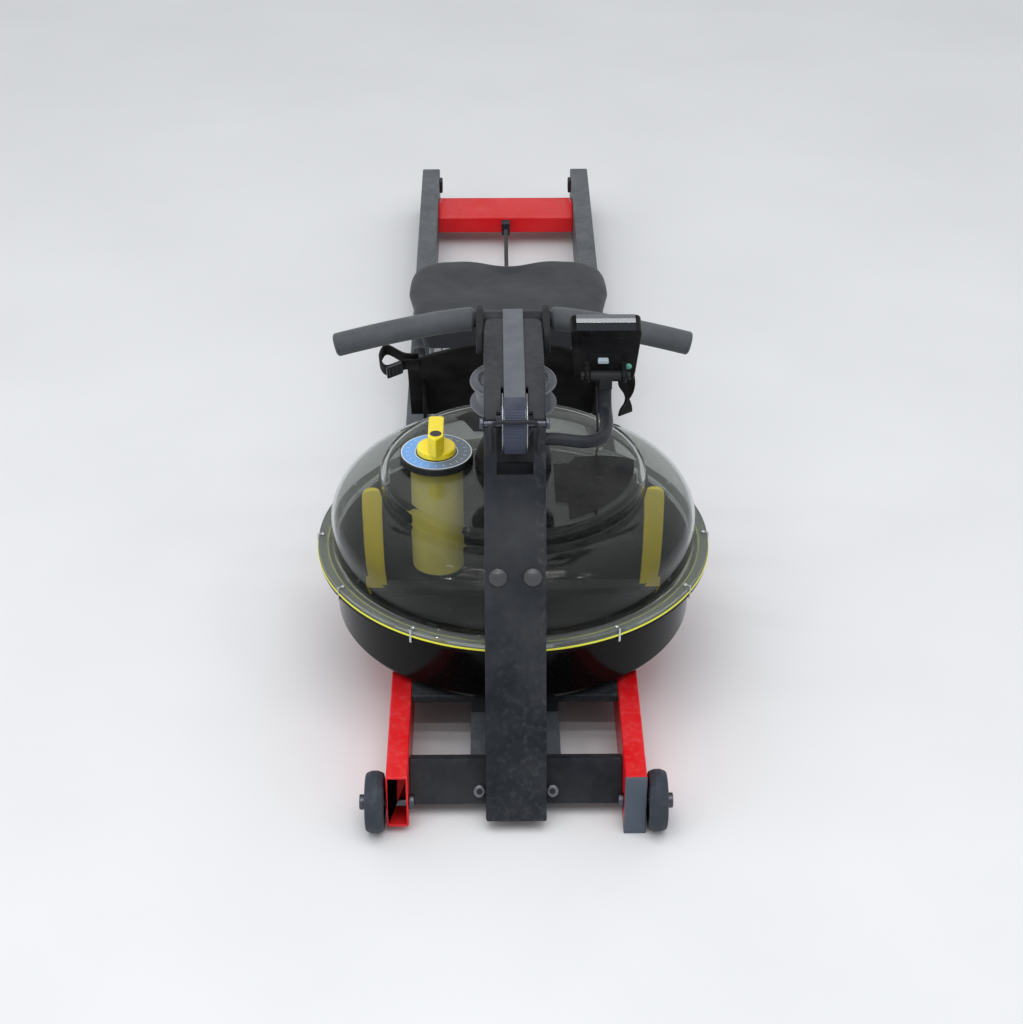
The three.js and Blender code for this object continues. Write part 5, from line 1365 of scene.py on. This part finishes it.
def build_selector():
    build_deck_panels()
    low, top, rim, bore = DIAL.low.z + 0.1, DIAL.high.z - 0.2, DIAL.size.x / 2 - 0.1, 8.6
    turned("dial_printed", [
        (bore, low, 0.3), (rim, low, 1.0), (rim, top - 1, 1.0), (rim - 1.2, top, 0.6), (bore, top, 0.3),
    ], upright(DIAL_X, DIAL_T, 0), dial_print("dial_face_print", tuple(at(DIAL_X, DIAL_T, 0))), "frame",
        "dial_face", "selector_dial", steps=128)
    mark_long, mark_half, mark_ring = 2.2, 0.35, 40.0
    corners = oblong(-mark_long, mark_long, -mark_half, mark_half, 0, 1)
    item = loft("tick_item", [[Vector((x, y, z)) * MM for x, y in corners] for z in (-0.1, 0.12)])
    white = plastic("mark_white", rgb(214, 220, 228), 0.5)
    ticks = repeated(
        "dial_marks", ring_tree(), upright(DIAL_X, DIAL_T, top + 0.1), Item=item, Count=sizes().dial_ticks,
        Radius=mark_ring * MM, First_turn=0.0, Finish=white,
    )
    finished(ticks, white, "frame", "dial_face")

    solid = Solid("selector_knob")
    low, skirt, skirt_high, bar_half, high = solid.low.z, solid.size.x / 2, 9.0, 10.5, solid.size.z
    nose, back = solid.size.y / 2, 22.0
    base = lathe("knob_skirt", rounded([
        (bore - 0.2, low, 0.3), (skirt, low, 0.6), (skirt - 0.6, low + skirt_high - 1.6, 1.6),
        (skirt - 3, low + skirt_high, 1.5), (bore - 0.2, low + skirt_high, 0.3),
    ], 5), upright(DIAL_X, DIAL_T, 0))
    shape = rounded([
        (-bar_half, nose, 5), (-bar_half, -back, 2), (0, -nose, 1.6), (bar_half, -back, 2),
        (bar_half, nose, 5),
    ], 6)
    bar = plate(
        "knob_bar", shape, low + skirt_high - 1, low + high, upright(DIAL_X, DIAL_T, 0), 1.8, both=False,
    )
    knob = shaded(merged("knob_moulded", [base, bar]), 38)
    finished(knob, yellow_plastic(), "selector", "yellow_plastic", "selector_knob")
    # A dark brown disc sunk in the knob's cup paints the shade that falls in it.
    cap, ahead, sunk = 7.9, 15.5, 0.15
    turned("knob_recess_ink", [
        (0, 0), (cap, 0), (cap, 0.5, 0.15), (cap - 1.3, 0.5, 0.15), (cap - 1.7, 0.2), (0, 0.2),
    ], upright(DIAL_X, DIAL_T - ahead, low + high - sunk), plastic("knob_cap_brown", rgb(44, 40, 28), 0.45),
        "selector", "black_matte", steps=48, corner=2, closed=False)
    dressed(
        "valve_moulded", "selector_valve", plastic("valve_plastic", rgb(228, 210, 96), 0.4), "yellow_plastic",
        EDGE_THIN, "selector", steps=2, sharp=40,
    )


# Monitor

MONITOR_X, MONITOR_T, MONITOR_Z, MONITOR_TILT = 118.0, -58.0, 524.0, math.radians(12)
TILTED = Matrix.Translation(at(MONITOR_X, MONITOR_T, MONITOR_Z)) @ Matrix.Rotation(MONITOR_TILT, 4, "X")


def build_monitor():
    case = plastic("monitor_black", rgb(4, 4, 7), 0.34, specular=0.07)
    dressed("monitor_case_moulded", "monitor_case", case, "black_gloss", EDGE_CASE, "monitor")
    glass = gloss_black("screen_glass", rgb(92, 104, 92))
    dressed("monitor_glass", "monitor_screen", glass, "screen", EDGE_FINE, "monitor")
    for i in (1, 2):
        dressed(
            f"monitor_key_{i}_rubber", f"monitor_key_{i}", grey_plastic(), "grey_plastic", EDGE_SMALL,
            f"key_{i}",
        )
    dressed(
        "bracket_moulded", "monitor_bracket", black_plastic(), "black_paint", EDGE_THIN, steps=2, sharp=40,
    )
    build_monitor_trim()
    build_monitor_arm()


def build_monitor_trim():
    """Metal bands over the case's top edge, in three tones that paint its highlight lines and shaded front,
    and the panels, plug and jack on its back.
    """
    half, step, top = 38.0, 0.4, 44.0
    # The silver and pewter bands paint the edge's two highlight lines, the dark band its shaded front: one
    # metal in three tones.
    pewter_highlight = metal("pewter_band_metal", (0.50, 0.51, 0.53), 0.24, brushed=False)
    silver_highlight = metal("silver_band_metal", (0.78, 0.79, 0.80), 0.26, brushed=False)
    dark = metal("dark_band_metal", (0.20, 0.21, 0.23), 0.26, brushed=False)
    for name, front, rear, low, high, finish in (
        ("rear", 8.6, 16.0, top, top + 0.5, pewter_highlight),
        ("middle", -1.0, 7.6, top, top + 0.7, silver_highlight),
        ("front", -16.6, -2.0, top - 0.1, top + 0.5, dark),
    ):
        section = rounded([(front, low), (rear, low), (rear, high, 0.3), (front, high, 0.45)], 3)
        band = loft(f"{name}_silver_band", [
            [TILTED @ (Vector((x, y, z)) * MM) for y, z in section]
            for x in (-half, step - half, half - step, half)
        ])
        finished(shaded(band, 40), finish, "monitor", "steel")
    panel = plastic("monitor_panel", rgb(10, 10, 14), 0.4, specular=0.07)
    pale = plastic("plug_pale", rgb(176, 190, 200), 0.5)
    for name, x, y, z, wide, high, thick, finish in (
        ("back_panel", 0, -17.2, 22, 33, 12, 0.5, panel), ("back_hatch", 0, -17.2, -5, 20, 12, 0.5, panel),
        ("lead_plug", -3, -20.5, -2.5, 7, 2.6, 3.4, pale),
    ):
        outline = oblong(-wide, wide, -high, high, 2, 4)
        place = TILTED @ Matrix.Translation(Vector((x, y, z)) * MM) @ FORWARD
        piece = plate(f"monitor_{name}", outline, -thick, thick, place, 0.4)
        finished(shaded(piece, 40), finish, "monitor", "grey_plastic")
    radius, proud = 4.6, 2.2
    turned("jack_teal", [
        (0, -1), (radius, -1), (radius, proud - 1, 0.8), (radius - 2.4, proud, 0.4), (0, proud),
    ], TILTED @ Matrix.Translation(Vector((30, -16.8, -15)) * MM) @ FORWARD,
        plastic("jack_teal_plastic", rgb(92, 168, 148), 0.45), "monitor", "grey_plastic", steps=32, corner=3,
        closed=False)


def build_monitor_arm():
    """The bent arm from the mast's side to the bracket, and the lead down to the deck."""
    start, bend, low, stand, bracket_t, bracket_z = 39.4, 12.4, 454.0, 458.0, -87.0, 483.6
    arm_radius, lead_radius = 8.2, 1.55
    line = smooth_line([
        at(start, PULLEY_T, stand), at(start + bend, PULLEY_T, stand), at(93.25, PULLEY_T, low),
        at(MONITOR_X - bend / 2, PULLEY_T + bend, low), at(MONITOR_X, (PULLEY_T + bracket_t) / 2, low),
        at(MONITOR_X, bracket_t - arm_radius - 0.05, stand), at(MONITOR_X, bracket_t, bracket_z - 8.15),
        at(MONITOR_X, bracket_t, bracket_z),
    ], 80)
    arm = shaded(rod_along("arm_painted", line, arm_radius * MM, 28), 50, even=False)
    finished(arm, black_paint(), "frame", "black_paint", "monitor_arm")
    x = MONITOR_X - arm_radius - 2.15
    shift, down_t = 9.0, 48.0
    line = smooth_line([
        at(x, bracket_t + 1.6, 484), at(x, -78, 466), at(x + shift / 2, -51, 392.2),
        at(x + shift, down_t - 4.5, 356.3), at(x + shift, down_t, 329.3), at(x + shift, down_t, DECK + 0.4),
    ], 110)
    wire = shaded(rod_along("sensor_wire", line, lead_radius * MM, 14), 50, even=False)
    finished(wire, black_rubber(), "frame", "black_rubber", "sensor_lead")


# Footboard and straps

BOARD_LEAN = math.radians(35)
BOARD_HALF = 140.0  # the straps leave the board's edges here
BOARD = Matrix.Translation(at(0, 330, 334)) @ Matrix.Rotation(BOARD_LEAN, 4, "X")


def on_board(x, y, z):
    return BOARD @ (Vector((x, y, z)) * MM)


def build_footboard():
    board = plastic("board_black", rgb(5, 5, 6), 0.6, grain=500, depth=0.0001, specular=0.07)
    dressed("board_moulded", "footboard", board, "black_matte", EDGE_PLATE)
    heel = plastic("heel_black", rgb(22, 23, 25), 0.6)
    for _, side in SIDES:
        dressed(f"{side}_heel_moulded", f"{side}_heel_rest", heel, "black_matte", EDGE_SOFT, f"{side}_heel")


def build_straps():
    webbing = weave("strap_webbing", rgb(8, 8, 11), dark=-0.5, pitch=0.0016, sheen=0.03, shine=0.1)
    front, back, along, thick = -2.5, 7.5, -62.0, 2.9 * MM
    line = smooth_line([
        on_board(-BOARD_HALF, front, along), on_board(-161, front, along), on_board(-190.5, -11.5, along),
        on_board(-199, 5.75, along), on_board(-190.5, 23, along), on_board(-161, back + 1.5, along),
        on_board(-BOARD_HALF, back, along),
    ], 60)
    across = (BOARD.to_3x3() @ Vector((0, 0, 1))).normalized()
    stations = [(p, across, way.cross(across).normalized()) for p, way in zip(line, tangents(line))]
    loop = shaded(ribbon("left_strap_woven", stations, 30 * MM, thick), 60, even=False)
    finished(loop, webbing, "frame", "webbing", "left_foot_strap")
    build_buckle(*stations[16])

    along, hang_x, hang_gap = -76.0, 178.0, -12.5

    def hang(length):
        return on_board(
            hang_x, hang_gap - length * math.sin(BOARD_LEAN), along - 20 - length * math.cos(BOARD_LEAN),
        )
    line = smooth_line([
        on_board(BOARD_HALF, front, along), on_board(161, front, along), on_board(173, -5, along - 6.7),
        hang(0), hang(30), hang(60),
    ], 60)
    normal = (BOARD.to_3x3() @ Vector((0, 1, 0))).normalized()
    stations = []
    for i, (point, way) in enumerate(zip(line, tangents(line))):
        through = (normal - way * normal.dot(way)).normalized()
        twist = 0.8 * math.pi * smoothstep(0.4, 1, i / 60)
        through = Matrix.Rotation(twist, 3, way) @ through
        stations.append((point, way.cross(through).normalized(), through))
    tail = shaded(ribbon("right_strap_woven", stations, 27 * MM, thick), 60, even=False)
    finished(tail, webbing, "frame", "webbing", "right_foot_strap")


def build_buckle(point, across, out):
    """The ribbed buckle on the left strap's front strand."""
    half, wide, low, top, bar_half, bar_long, bar_top = 13.0, 17.0, -2.0, 2.0, 1.3, 14.0, 3.4
    bars = [plate("buckle_base", oblong(-wide, wide, -half, half, 3, 4), low, top, Matrix(), 0.8)]
    for k in range(4):
        y = lerp(4.5 - half, half - 4.5, k / 3)
        outline = oblong(-bar_long, bar_long, y - bar_half, y + bar_half, 0.8, 3)
        bars.append(plate("buckle_bar", outline, 1.5, bar_top, Matrix(), 0.6, both=False))
    buckle = merged("left_strap_buckle", bars)
    way = across.cross(out)
    turn = Matrix((across, way, across.cross(way))).transposed().to_4x4()
    if (turn.to_3x3() @ Vector((0, 0, 1))).y > 0:
        turn = turn @ Matrix.Rotation(math.pi, 4, "Y")
    lifted = Matrix.Translation((0, 0, 3.2 * MM))
    buckle.data.transform(Matrix.Translation(point) @ turn @ lifted)
    finished(shaded(buckle, 40), plastic("buckle_black", rgb(30, 32, 38), 0.35), "frame", "black_matte")


# Seat, carriage and rollers

SEAT = Solid("seat_pad")
SEAT_HALF, SEAT_TOP, SEAT_T = SEAT.size.x / 2, SEAT.high.z, 772.0
SEAT_DEPTH, SEAT_DIP, SEAT_LOBE, SEAT_BEND = 114.0, 18.0, 10.0, 54.0
SEAT_LIP_DROP = 18.0
SEAT_LOW = SEAT.low.z + SEAT_LIP_DROP
SEAT_CENTRE_Y = -4.0  # the rings of the pad shrink towards this point


def bezier(p0, p1, p2, p3, steps):
    result = []
    for i in range(1, steps + 1):
        s = i / steps
        shares = (1 - s) ** 3, 3 * s * (1 - s) ** 2, 3 * s * s * (1 - s), s ** 3
        result.append(tuple(
            sum(share * point[axis] for share, point in zip(shares, (p0, p1, p2, p3))) for axis in (0, 1)
        ))
    return result


def seat_outline():
    """The pad seen from above: straight front, rounded sides, two lobes and a dip behind."""
    w, d, bend = SEAT_HALF, SEAT_DEPTH, SEAT_BEND
    front, side, corner = 0.8 * w, 0.94 * w, w - 1.2 * bend
    points = [(0, -d)]
    points += bezier((0, -d), (w * 0.3, -d), (w * 0.6, -d), (front, -d), 10)
    points += bezier((front, -d), ((front + 2 * side) / 3, -d), (side, -d + bend / 3), (side, -d + bend), 10)
    points += bezier((side, -d + bend), (w * 0.96, -d / 3), (w * 0.98, -d / 6), (w, 0), 10)
    points += bezier((w, 0), (w, d - bend / 2), (side, d), (corner, d), 16)
    points += bezier((corner, d), (w / 3, d + SEAT_LOBE), (w / 4, d - SEAT_DIP), (0, d - SEAT_DIP), 20)
    return points + [(-x, y) for x, y in points[1:-1]][::-1]


def seat_height(x, y, edge):
    """The pad's top above its edge line: two hollows, a funnel to the rear dip and a sloping front."""
    def bump(cx, cy, rx, ry):
        return math.exp(-(((x - cx) / rx) ** 2 + ((y - cy) / ry) ** 2))
    height = -7.0 * bump(0, 66, 30, 62) - 3.0 * bump(0, -40, 26, 80)
    for sign, _ in SIDES:
        height += 1.2 * bump(sign * 78, 84, 40, 26) - 5.0 * bump(sign * 68, 4, 46, 58)
    height -= 4.5 * smoothstep(-30, -SEAT_DEPTH, y)
    return height * smoothstep(0.0, 0.35, edge)


def build_seat():
    outline = evenly([Vector((x, y, 0)) for x, y in [*seat_outline(), seat_outline()[0]]], 200)[:-1]
    edge_roll, flat, sink, tops, rolls, sides = 15.0, 0.86, 1.5, 34, 12, 8
    lip_from, lip_to = -94.0, -106.0

    def ring(share, level):
        return [
            at(p.x * share, SEAT_T + SEAT_CENTRE_Y + (p.y - SEAT_CENTRE_Y) * share, level(p)) for p in outline
        ]

    def top_ring(share, drop):
        return ring(share, lambda p: SEAT_TOP - sink - drop + seat_height(
            p.x * share, SEAT_CENTRE_Y + (p.y - SEAT_CENTRE_Y) * share, 1 - share,
        ))

    def front_lip(p, amount):
        """How far the lip under the front edge hangs below the pad."""
        return SEAT_LIP_DROP * amount * smoothstep(lip_from, lip_to, p.y)

    rings = [top_ring(flat * i / tops, 0) for i in range(1, tops + 1)]
    for k in range(1, rolls + 1):
        angle = QUARTER * k / rolls
        rings.append(top_ring(flat + (1 - flat) * math.sin(angle), (1 - math.cos(angle)) * edge_roll))
    base = SEAT_TOP - sink - edge_roll
    for k in range(1, sides + 1):
        down = k / sides
        rings.append(ring(
            1.0 - 0.055 * down ** 1.6, lambda p, q=down: lerp(base, SEAT_LOW + 2.5 - front_lip(p, 1), q),
        ))
    for share, rise, amount in (
        (0.93, 0.6, 1), (0.91, 0.1, 1), (0.89, 0.1, 0.8), (0.87, 0.1, 0), (0.5, 0.1, 0),
    ):
        rings.append(ring(share, lambda p, r=rise, q=amount: SEAT_LOW + r - front_lip(p, q)))
    pad = shaded(loft("seat_pad_moulded", rings), 60)
    finished(pad, grained("seat_skin", srgb(*colours().seat)), "seat", "seat_foam", "seat_pad")

    dressed(
        "carriage_pressed", "seat_carriage",
        paint("carriage_grey_paint", rgb(158, 165, 172), 0.38, grain=1500), "steel", EDGE_THIN, "seat",
        steps=2, sharp=40,
    )
    bore, hub, web, rim, crown = 5.4, 9.0, 15.0, 16.0, 1.4
    for end in ("front", "rear"):
        for _, side in SIDES:
            roller = Solid(f"{end}_{side}_roller")
            half, radius = roller.size.x / 2 - 0.1, roller.size.z / 2
            turned(f"{end}_{side}_roller_turned", mirrored([
                (bore, half, 0.3), (hub, half, 0.4), (hub + 0.6, half - 1.5, 0.4), (web, half - 1.5, 0.6),
                (rim, half, 0.8), (radius - crown, half, 1.6), (radius, 0, 8),
            ]), sideways(*roller.middle), plastic("roller_plastic", rgb(40, 42, 46), 0.4),
                f"roller_{end}_{side}", "black_matte", f"{end}_{side}_roller", steps=64, corner=3)


def build_recoil_cord():
    solid = Solid("recoil_cord")
    points = [at(0, lerp(solid.low.y, solid.high.y, i / 60), solid.middle.z) for i in range(61)]
    cord = rod_along("recoil_cord_braided", points, (solid.size.z / 2 - 0.05) * MM, 20)
    braid = weave("cord_braid", rgb(34, 35, 40), dark=-0.4, pitch=0.002)
    finished(shaded(cord, 50, even=False), braid, "frame", "black_rubber", "recoil_cord")


# Floor, light and camera

ROOM_SEEN, ROOM_LIGHT = 0.8, 0.68  # the pale room as it is seen, and as it lights the machine
IMAGE_WIDE, FOCAL_PIXELS, SENSOR = 1023, 2100, 36


def build_floor():
    side = 30.0
    mesh = bpy.data.meshes.new("floor")
    corners = [(-side, -side, 0), (side, -side, 0), (side, side, 0), (-side, side, 0)]
    mesh.from_pydata(corners, [], [(0, 1, 2, 3)])
    floor = new_object("floor", mesh)
    f = Finish("pale_floor")
    f.colour(f.mix(f.span(f.noise(2.5, 3), 0.3, 0.7), rgb(226, 227, 229), rgb(231, 232, 234)))
    f.set("Roughness", 0.7)
    f.set("Specular IOR Level", 0.2)
    floor.data.materials.append(f.material)


def build_room():
    """An even pale room. The camera, gloss and glass see its pale wall."""
    world = bpy.data.worlds.new("pale_room")
    bpy.context.scene.world = world
    world.use_nodes = True
    tree = world.node_tree
    tree.nodes.clear()
    path = tree.nodes.new("ShaderNodeLightPath")
    seen, lit = (tree.nodes.new("ShaderNodeBackground") for _ in range(2))
    seen.inputs["Color"].default_value = (0.97, 0.985, 1, 1)
    seen.inputs["Strength"].default_value = ROOM_SEEN
    lit.inputs["Color"].default_value = (0.96, 0.98, 1, 1)
    lit.inputs["Strength"].default_value = ROOM_LIGHT
    shows = path.outputs["Is Camera Ray"]
    for kind in ("Is Transmission Ray", "Is Glossy Ray"):
        either = tree.nodes.new("ShaderNodeMath")
        either.operation = "MAXIMUM"
        tree.links.new(shows, either.inputs[0])
        tree.links.new(path.outputs[kind], either.inputs[1])
        shows = either.outputs[0]
    mix = tree.nodes.new("ShaderNodeMixShader")
    out = tree.nodes.new("ShaderNodeOutputWorld")
    tree.links.new(shows, mix.inputs[0])
    tree.links.new(lit.outputs[0], mix.inputs[1])
    tree.links.new(seen.outputs[0], mix.inputs[2])
    tree.links.new(mix.outputs[0], out.inputs["Surface"])


def build_stage():
    build_floor()
    build_room()
    tank = (0, -0.5, 0.2)
    lamp("overhead", (0.3, 0.4, 3.6), (0, 0, 0), 4.0, 4.0, 12, mirrored=False)
    for i in range(4):
        lamp(f"ceiling_strip_{i + 1}", (-0.1, -3.1 + 0.75 * i, 3.2), tank, 2.4, 0.022, 12)
    lamp("left_strip", (-1.9, -2.2, 3.0), tank, 0.5, 0.03, 5)
    lamp("right_strip", (1.9, -2.0, 3.0), tank, 0.5, 0.03, 5)
    lamp("fill", (-2.8, -2.6, 1.8), (0, -0.3, 0.25), 2.0, 1.4, 10, mirrored=False)

    shot = bpy.data.cameras.new("camera")
    camera = bpy.data.objects.new("camera", shot)
    bpy.context.scene.collection.objects.link(camera)
    camera.location = (-0.027, -3.065, 1.773)
    camera.rotation_euler = (math.radians(58.3), 0, math.radians(-0.57))
    shot.sensor_width = SENSOR
    shot.lens = SENSOR * FOCAL_PIXELS / IMAGE_WIDE
    shot.clip_start = 0.05
    bpy.context.scene.camera = camera
    bpy.context.scene.view_settings.view_transform = "Standard"


def lamp(name, place, target, width, depth, power, mirrored=True):
    """A soft lamp. One that isn't mirrored lights the machine without its own image in the gloss."""
    light = bpy.data.lights.new(name, "AREA")
    light.shape = "RECTANGLE"
    light.size = width
    light.size_y = depth
    light.energy = power
    piece = bpy.data.objects.new(name, light)
    bpy.context.scene.collection.objects.link(piece)
    piece.visible_glossy = mirrored
    piece.location = place
    piece.rotation_euler = (Vector(target) - Vector(place)).to_track_quat("-Z", "Y").to_euler()
    return piece


# Operators: one for each piece or group of like pieces, in the order in which they run

class ROWER_OT_base_tubes(bpy.types.Operator):
    """Paint the two base tubes and the grey end cap"""
    bl_idname = "rower.base_tubes"
    bl_label = "Base tubes"

    def execute(self, context):
        build_base_tubes()
        return {"FINISHED"}


class ROWER_OT_rails(bpy.types.Operator):
    """Build the rails with their feet and stops"""
    bl_idname = "rower.rails"
    bl_label = "Rails"

    def execute(self, context):
        build_rails()
        return {"FINISHED"}


class ROWER_OT_cross_members(bpy.types.Operator):
    """Build the cross members, the beam and the rear crossbar"""
    bl_idname = "rower.cross_members"
    bl_label = "Cross members"

    def execute(self, context):
        build_cross_members()
        return {"FINISHED"}


class ROWER_OT_wheels(bpy.types.Operator):
    """Build the transport wheels and their bolts"""
    bl_idname = "rower.wheels"
    bl_label = "Transport wheels"

    def execute(self, context):
        build_wheels()
        return {"FINISHED"}


class ROWER_OT_tank(bpy.types.Operator):
    """Build the bowl, the seal, the smoked dome and the clips round its lip"""
    bl_idname = "rower.tank"
    bl_label = "Water tank"

    def execute(self, context):
        build_tank()
        return {"FINISHED"}


class ROWER_OT_paddle_wheel(bpy.types.Operator):
    """Build the paddle wheel and its shaft"""
    bl_idname = "rower.paddle_wheel"
    bl_label = "Paddle wheel"

    def execute(self, context):
        build_paddle_wheel()
        return {"FINISHED"}


class ROWER_OT_drive(bpy.types.Operator):
    """Build the bearing tower and the belt drum"""
    bl_idname = "rower.drive"
    bl_label = "Tower and drum"

    def execute(self, context):
        build_drive()
        return {"FINISHED"}


class ROWER_OT_mast(bpy.types.Operator):
    """Build the mast, its bolts and the handle's ears"""
    bl_idname = "rower.mast"
    bl_label = "Mast"

    def execute(self, context):
        build_mast()
        return {"FINISHED"}


class ROWER_OT_pulley(bpy.types.Operator):
    """Build the guide pulley, its axle and the belt keeper"""
    bl_idname = "rower.pulley"
    bl_label = "Guide pulley"

    def execute(self, context):
        build_pulley()
        build_keeper()
        return {"FINISHED"}


class ROWER_OT_belt(bpy.types.Operator):
    """Build the belt over the mast, its run to the drum and its ribs"""
    bl_idname = "rower.belt"
    bl_label = "Belt"

    def execute(self, context):
        build_belt()
        return {"FINISHED"}


class ROWER_OT_handle(bpy.types.Operator):
    """Build the handle bar and its foam grips"""
    bl_idname = "rower.handle"
    bl_label = "Handle"

    def execute(self, context):
        build_handle()
        return {"FINISHED"}


class ROWER_OT_selector(bpy.types.Operator):
    """Build the deck panels, the dial, its marks, the knob and the valve"""
    bl_idname = "rower.selector"
    bl_label = "Resistance selector"

    def execute(self, context):
        build_selector()
        return {"FINISHED"}


class ROWER_OT_monitor(bpy.types.Operator):
    """Build the monitor with its bands and back panels, its bracket, arm and lead"""
    bl_idname = "rower.monitor"
    bl_label = "Monitor"

    def execute(self, context):
        build_monitor()
        return {"FINISHED"}


class ROWER_OT_footboard(bpy.types.Operator):
    """Build the footboard and its heel rests"""
    bl_idname = "rower.footboard"
    bl_label = "Footboard"

    def execute(self, context):
        build_footboard()
        return {"FINISHED"}


class ROWER_OT_straps(bpy.types.Operator):
    """Build the two foot straps and the left one's buckle"""
    bl_idname = "rower.straps"
    bl_label = "Foot straps"

    def execute(self, context):
        build_straps()
        return {"FINISHED"}


class ROWER_OT_seat(bpy.types.Operator):
    """Build the seat pad, its carriage and its rollers"""
    bl_idname = "rower.seat"
    bl_label = "Seat"

    def execute(self, context):
        build_seat()
        return {"FINISHED"}


class ROWER_OT_recoil_cord(bpy.types.Operator):
    """Build the recoil cord under the seat"""
    bl_idname = "rower.recoil_cord"
    bl_label = "Recoil cord"

    def execute(self, context):
        build_recoil_cord()
        return {"FINISHED"}


class ROWER_OT_stage(bpy.types.Operator):
    """Lay the pale floor and set the light and the camera"""
    bl_idname = "rower.stage"
    bl_label = "Stage"

    def execute(self, context):
        build_stage()
        return {"FINISHED"}


OPERATORS = (
    ROWER_OT_stage, ROWER_OT_base_tubes, ROWER_OT_rails, ROWER_OT_cross_members, ROWER_OT_wheels,
    ROWER_OT_tank, ROWER_OT_paddle_wheel, ROWER_OT_drive, ROWER_OT_mast, ROWER_OT_pulley, ROWER_OT_belt,
    ROWER_OT_handle, ROWER_OT_selector, ROWER_OT_monitor, ROWER_OT_footboard, ROWER_OT_straps,
    ROWER_OT_seat, ROWER_OT_recoil_cord,
)


class ROWER_PT_panel(bpy.types.Panel):
    """Lists the machine's sizes, colours and pieces"""
    bl_idname = "ROWER_PT_panel"
    bl_label = "Water rowing machine"
    bl_space_type = "VIEW_3D"
    bl_region_type = "UI"
    bl_category = "Rower"

    def draw(self, context):
        layout = self.layout
        for group in (context.scene.rower_sizes, context.scene.rower_colours):
            box = layout.box()
            for name in group.__annotations__:
                box.prop(group, name)
        for operator in OPERATORS:
            layout.operator(operator.bl_idname)


CLASSES = (RowerSizes, RowerColours, *OPERATORS, ROWER_PT_panel)


def register():
    for cls in CLASSES:
        bpy.utils.register_class(cls)
    bpy.types.Scene.rower_sizes = PointerProperty(type=RowerSizes)
    bpy.types.Scene.rower_colours = PointerProperty(type=RowerColours)


def unregister():
    del bpy.types.Scene.rower_colours
    del bpy.types.Scene.rower_sizes
    for cls in reversed(CLASSES):
        bpy.utils.unregister_class(cls)


def main():
    register()
    for operator in OPERATORS:
        group, name = operator.bl_idname.split(".")
        getattr(getattr(bpy.ops, group), name)()


if __name__ == "__main__":
    main()
